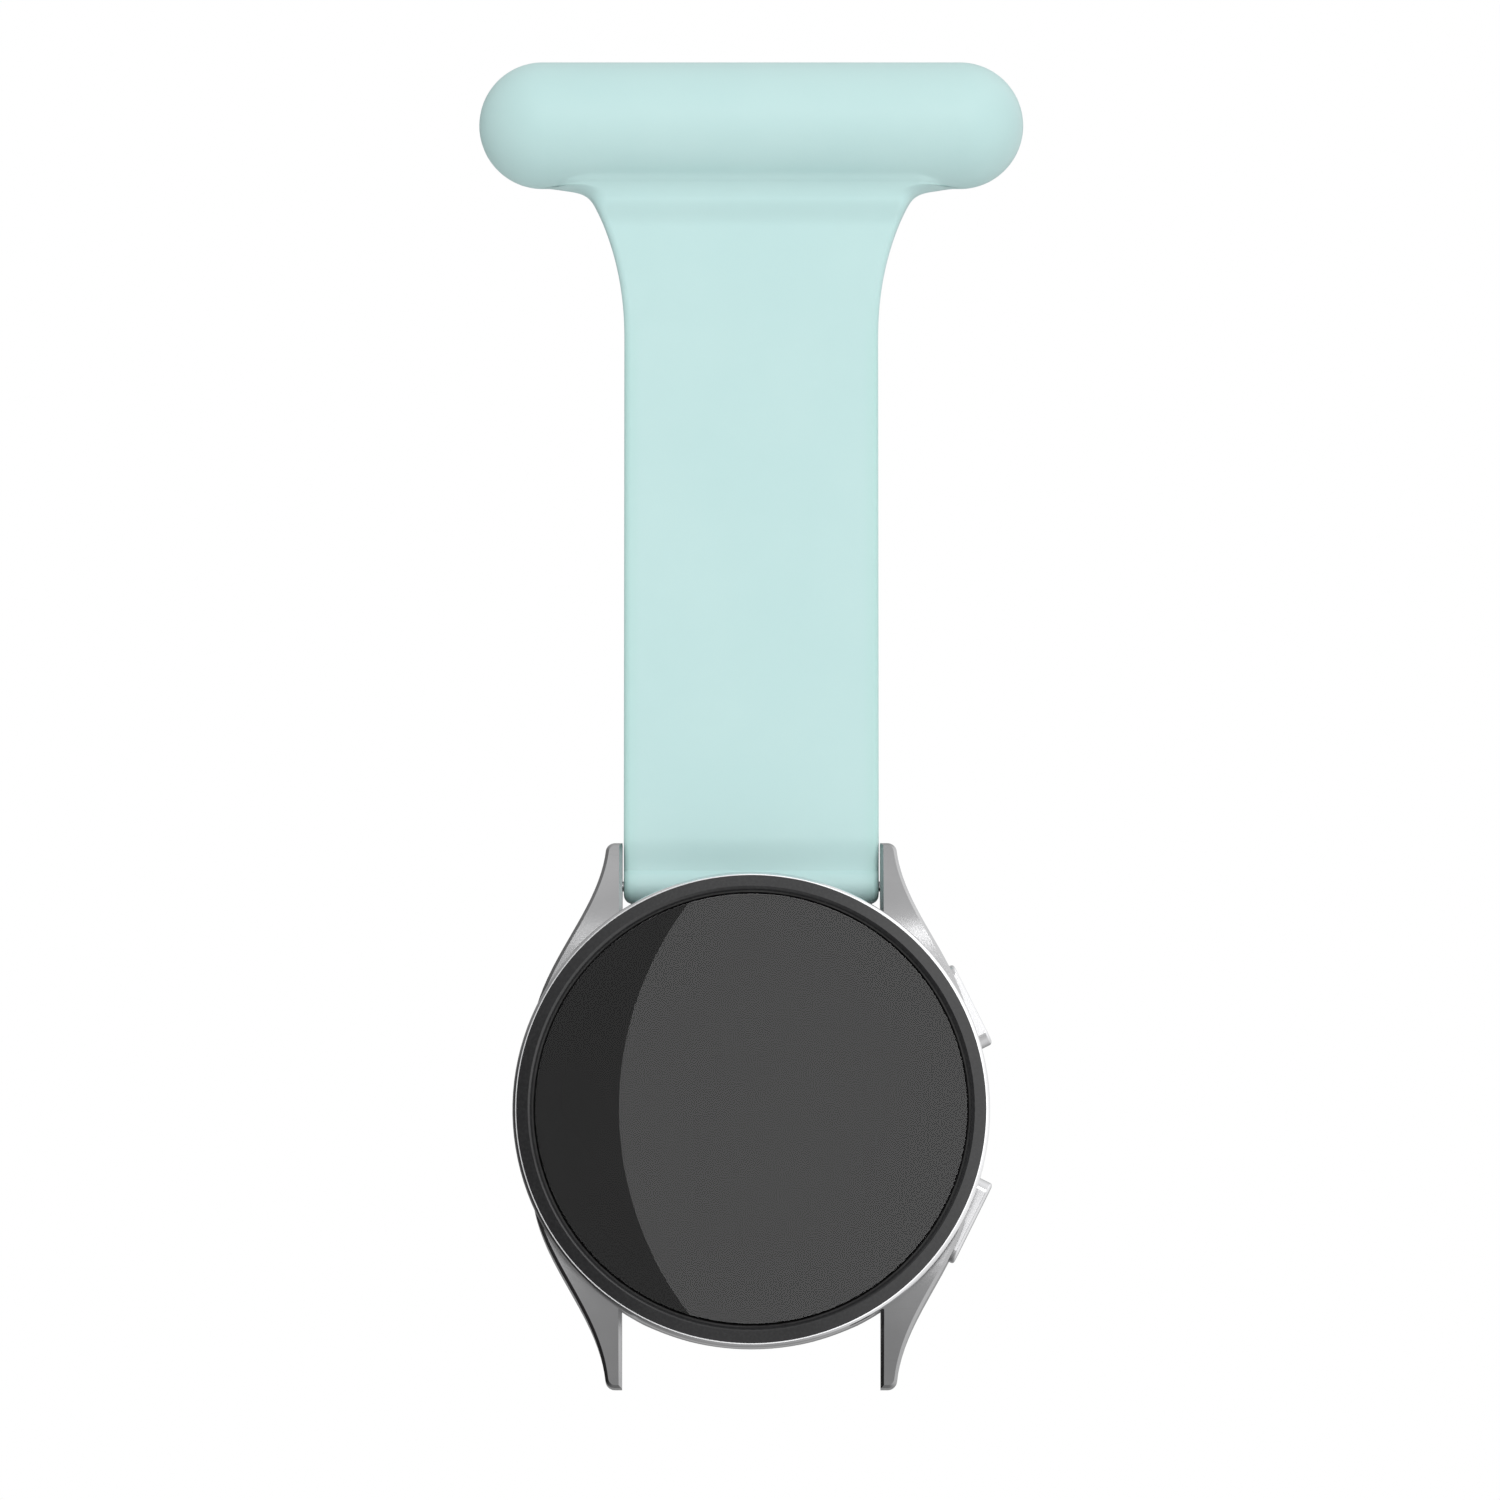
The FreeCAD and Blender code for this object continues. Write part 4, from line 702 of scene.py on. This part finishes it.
def makeFloor():
    z = lowest.z - studio["floorDrop"]
    r = studio["floorReach"]
    made = gridMesh("floor", [(-r, -r, z), (r, -r, z), (r, r, z), (-r, r, z)], [(0, 1, 2, 3)])
    look, s = newShader("paleFloor")
    tone = s.mix(s.noise(s.place(), 3.0).fade(0.3, 0.7), (0.93, 0.93, 0.93), (0.95, 0.95, 0.95))
    s.surface({"Base Color": tone, "Roughness": 0.7})
    made.data.materials.append(look)
    made.visible_glossy = False


def makeWorld():
    # even for matt surfaces; metal and glass see it darker on the left and behind, brighter on the right;
    # plain white where the camera looks straight at it
    spans = studio["spans"]
    world = bpy.data.worlds.new("studio")
    bpy.context.scene.world = world
    s = Shader(world, "ShaderNodeOutputWorld")
    x, y, z = s.axes(s.node("ShaderNodeTexCoord", {}, {}, "Generated"))
    facing = y.fade(*spans["facing"], studio["ahead"], studio["behind"])
    left = x.fade(*spans["left"], studio["leftDark"], 1.0)
    right = x.fade(*spans["right"], 0.0, studio["rightBright"] - studio["behind"])
    above = z.fade(*spans["above"], 0.0, studio["overhead"])
    below = z.fade(*spans["below"], studio["underneath"], 1.0)
    mirrored = (facing * left + right + above) * below
    seen = s.node("ShaderNodeLightPath", {}, {}, "Is Camera Ray")
    glossy = s.node("ShaderNodeLightPath", {}, {}, "Is Glossy Ray")
    strength = seen * studio["backdrop"] + glossy * mirrored + (1 - seen - glossy) * studio["allRound"]
    light = s.node("ShaderNodeBackground", {}, {"Color": (1.0, 1.0, 1.0), "Strength": strength})
    s.feed(s.result.inputs["Surface"], light)


def panelLight(name, place, aim, size, brightness, shape="SQUARE"):
    # brightness is what a mirror would show of it
    light = bpy.data.lights.new(name, "AREA")
    light.shape = shape
    light.size = size
    area = math.pi * size * size / 4 if shape == "DISK" else size * size
    light.energy = brightness * math.pi * area
    made = bpy.data.objects.new(name, light)
    made.location = place
    made.rotation_mode = "QUATERNION"
    made.rotation_quaternion = (Vector(aim) - Vector(place)).to_track_quat("-Z", "Y")
    made.visible_camera = False
    made.visible_diffuse = name != "frontDisc"
    made.visible_glossy = name not in ("softAbove", "softBelow")
    bpy.context.scene.collection.objects.link(made)


def makeCamera():
    scene = bpy.context.scene
    data = bpy.data.cameras.new("camera")
    made = bpy.data.objects.new("camera", data)
    scene.collection.objects.link(made)
    rise = math.radians(studio["elevation"])
    aim = Vector(studio["aim"]) + Vector((0, 0, lowest.z))
    made.location = aim + Vector((0, -math.cos(rise), math.sin(rise))) * studio["distance"]
    made.rotation_euler = (math.pi / 2 - rise, 0, 0)
    data.sensor_width = 36.0
    data.lens = 36.0 * studio["distance"] / studio["frameWidth"]
    data.clip_start, data.clip_end = 0.01, 50.0
    scene.camera = made
    scene.view_settings.view_transform = "Standard"
    return made.location


def makeDisc(eye):
    # stands where the glass mirrors it towards the camera
    low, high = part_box("cover_glass")
    spot = Vector((studio["discAside"], low.y, (low.z + high.z) / 2))
    mirrored = Vector((eye.x, 2 * low.y - eye.y, eye.z))
    grows = studio["discAway"] / (low.y - eye.y)
    place = spot + (spot - mirrored) * grows
    size = 2 * studio["discRadius"] * (1 + grows)
    panelLight("frontDisc", place, spot, size, studio["discBrightness"], "DISK")


makeFloor()
makeWorld()
middle = (0, -0.006, (lowest.z + highest.z) / 2)
for name, (place, size, brightness) in studio["panels"].items():
    panelLight(name, place, middle, size, brightness)
makeDisc(makeCamera())
print("floor, light and camera ready")
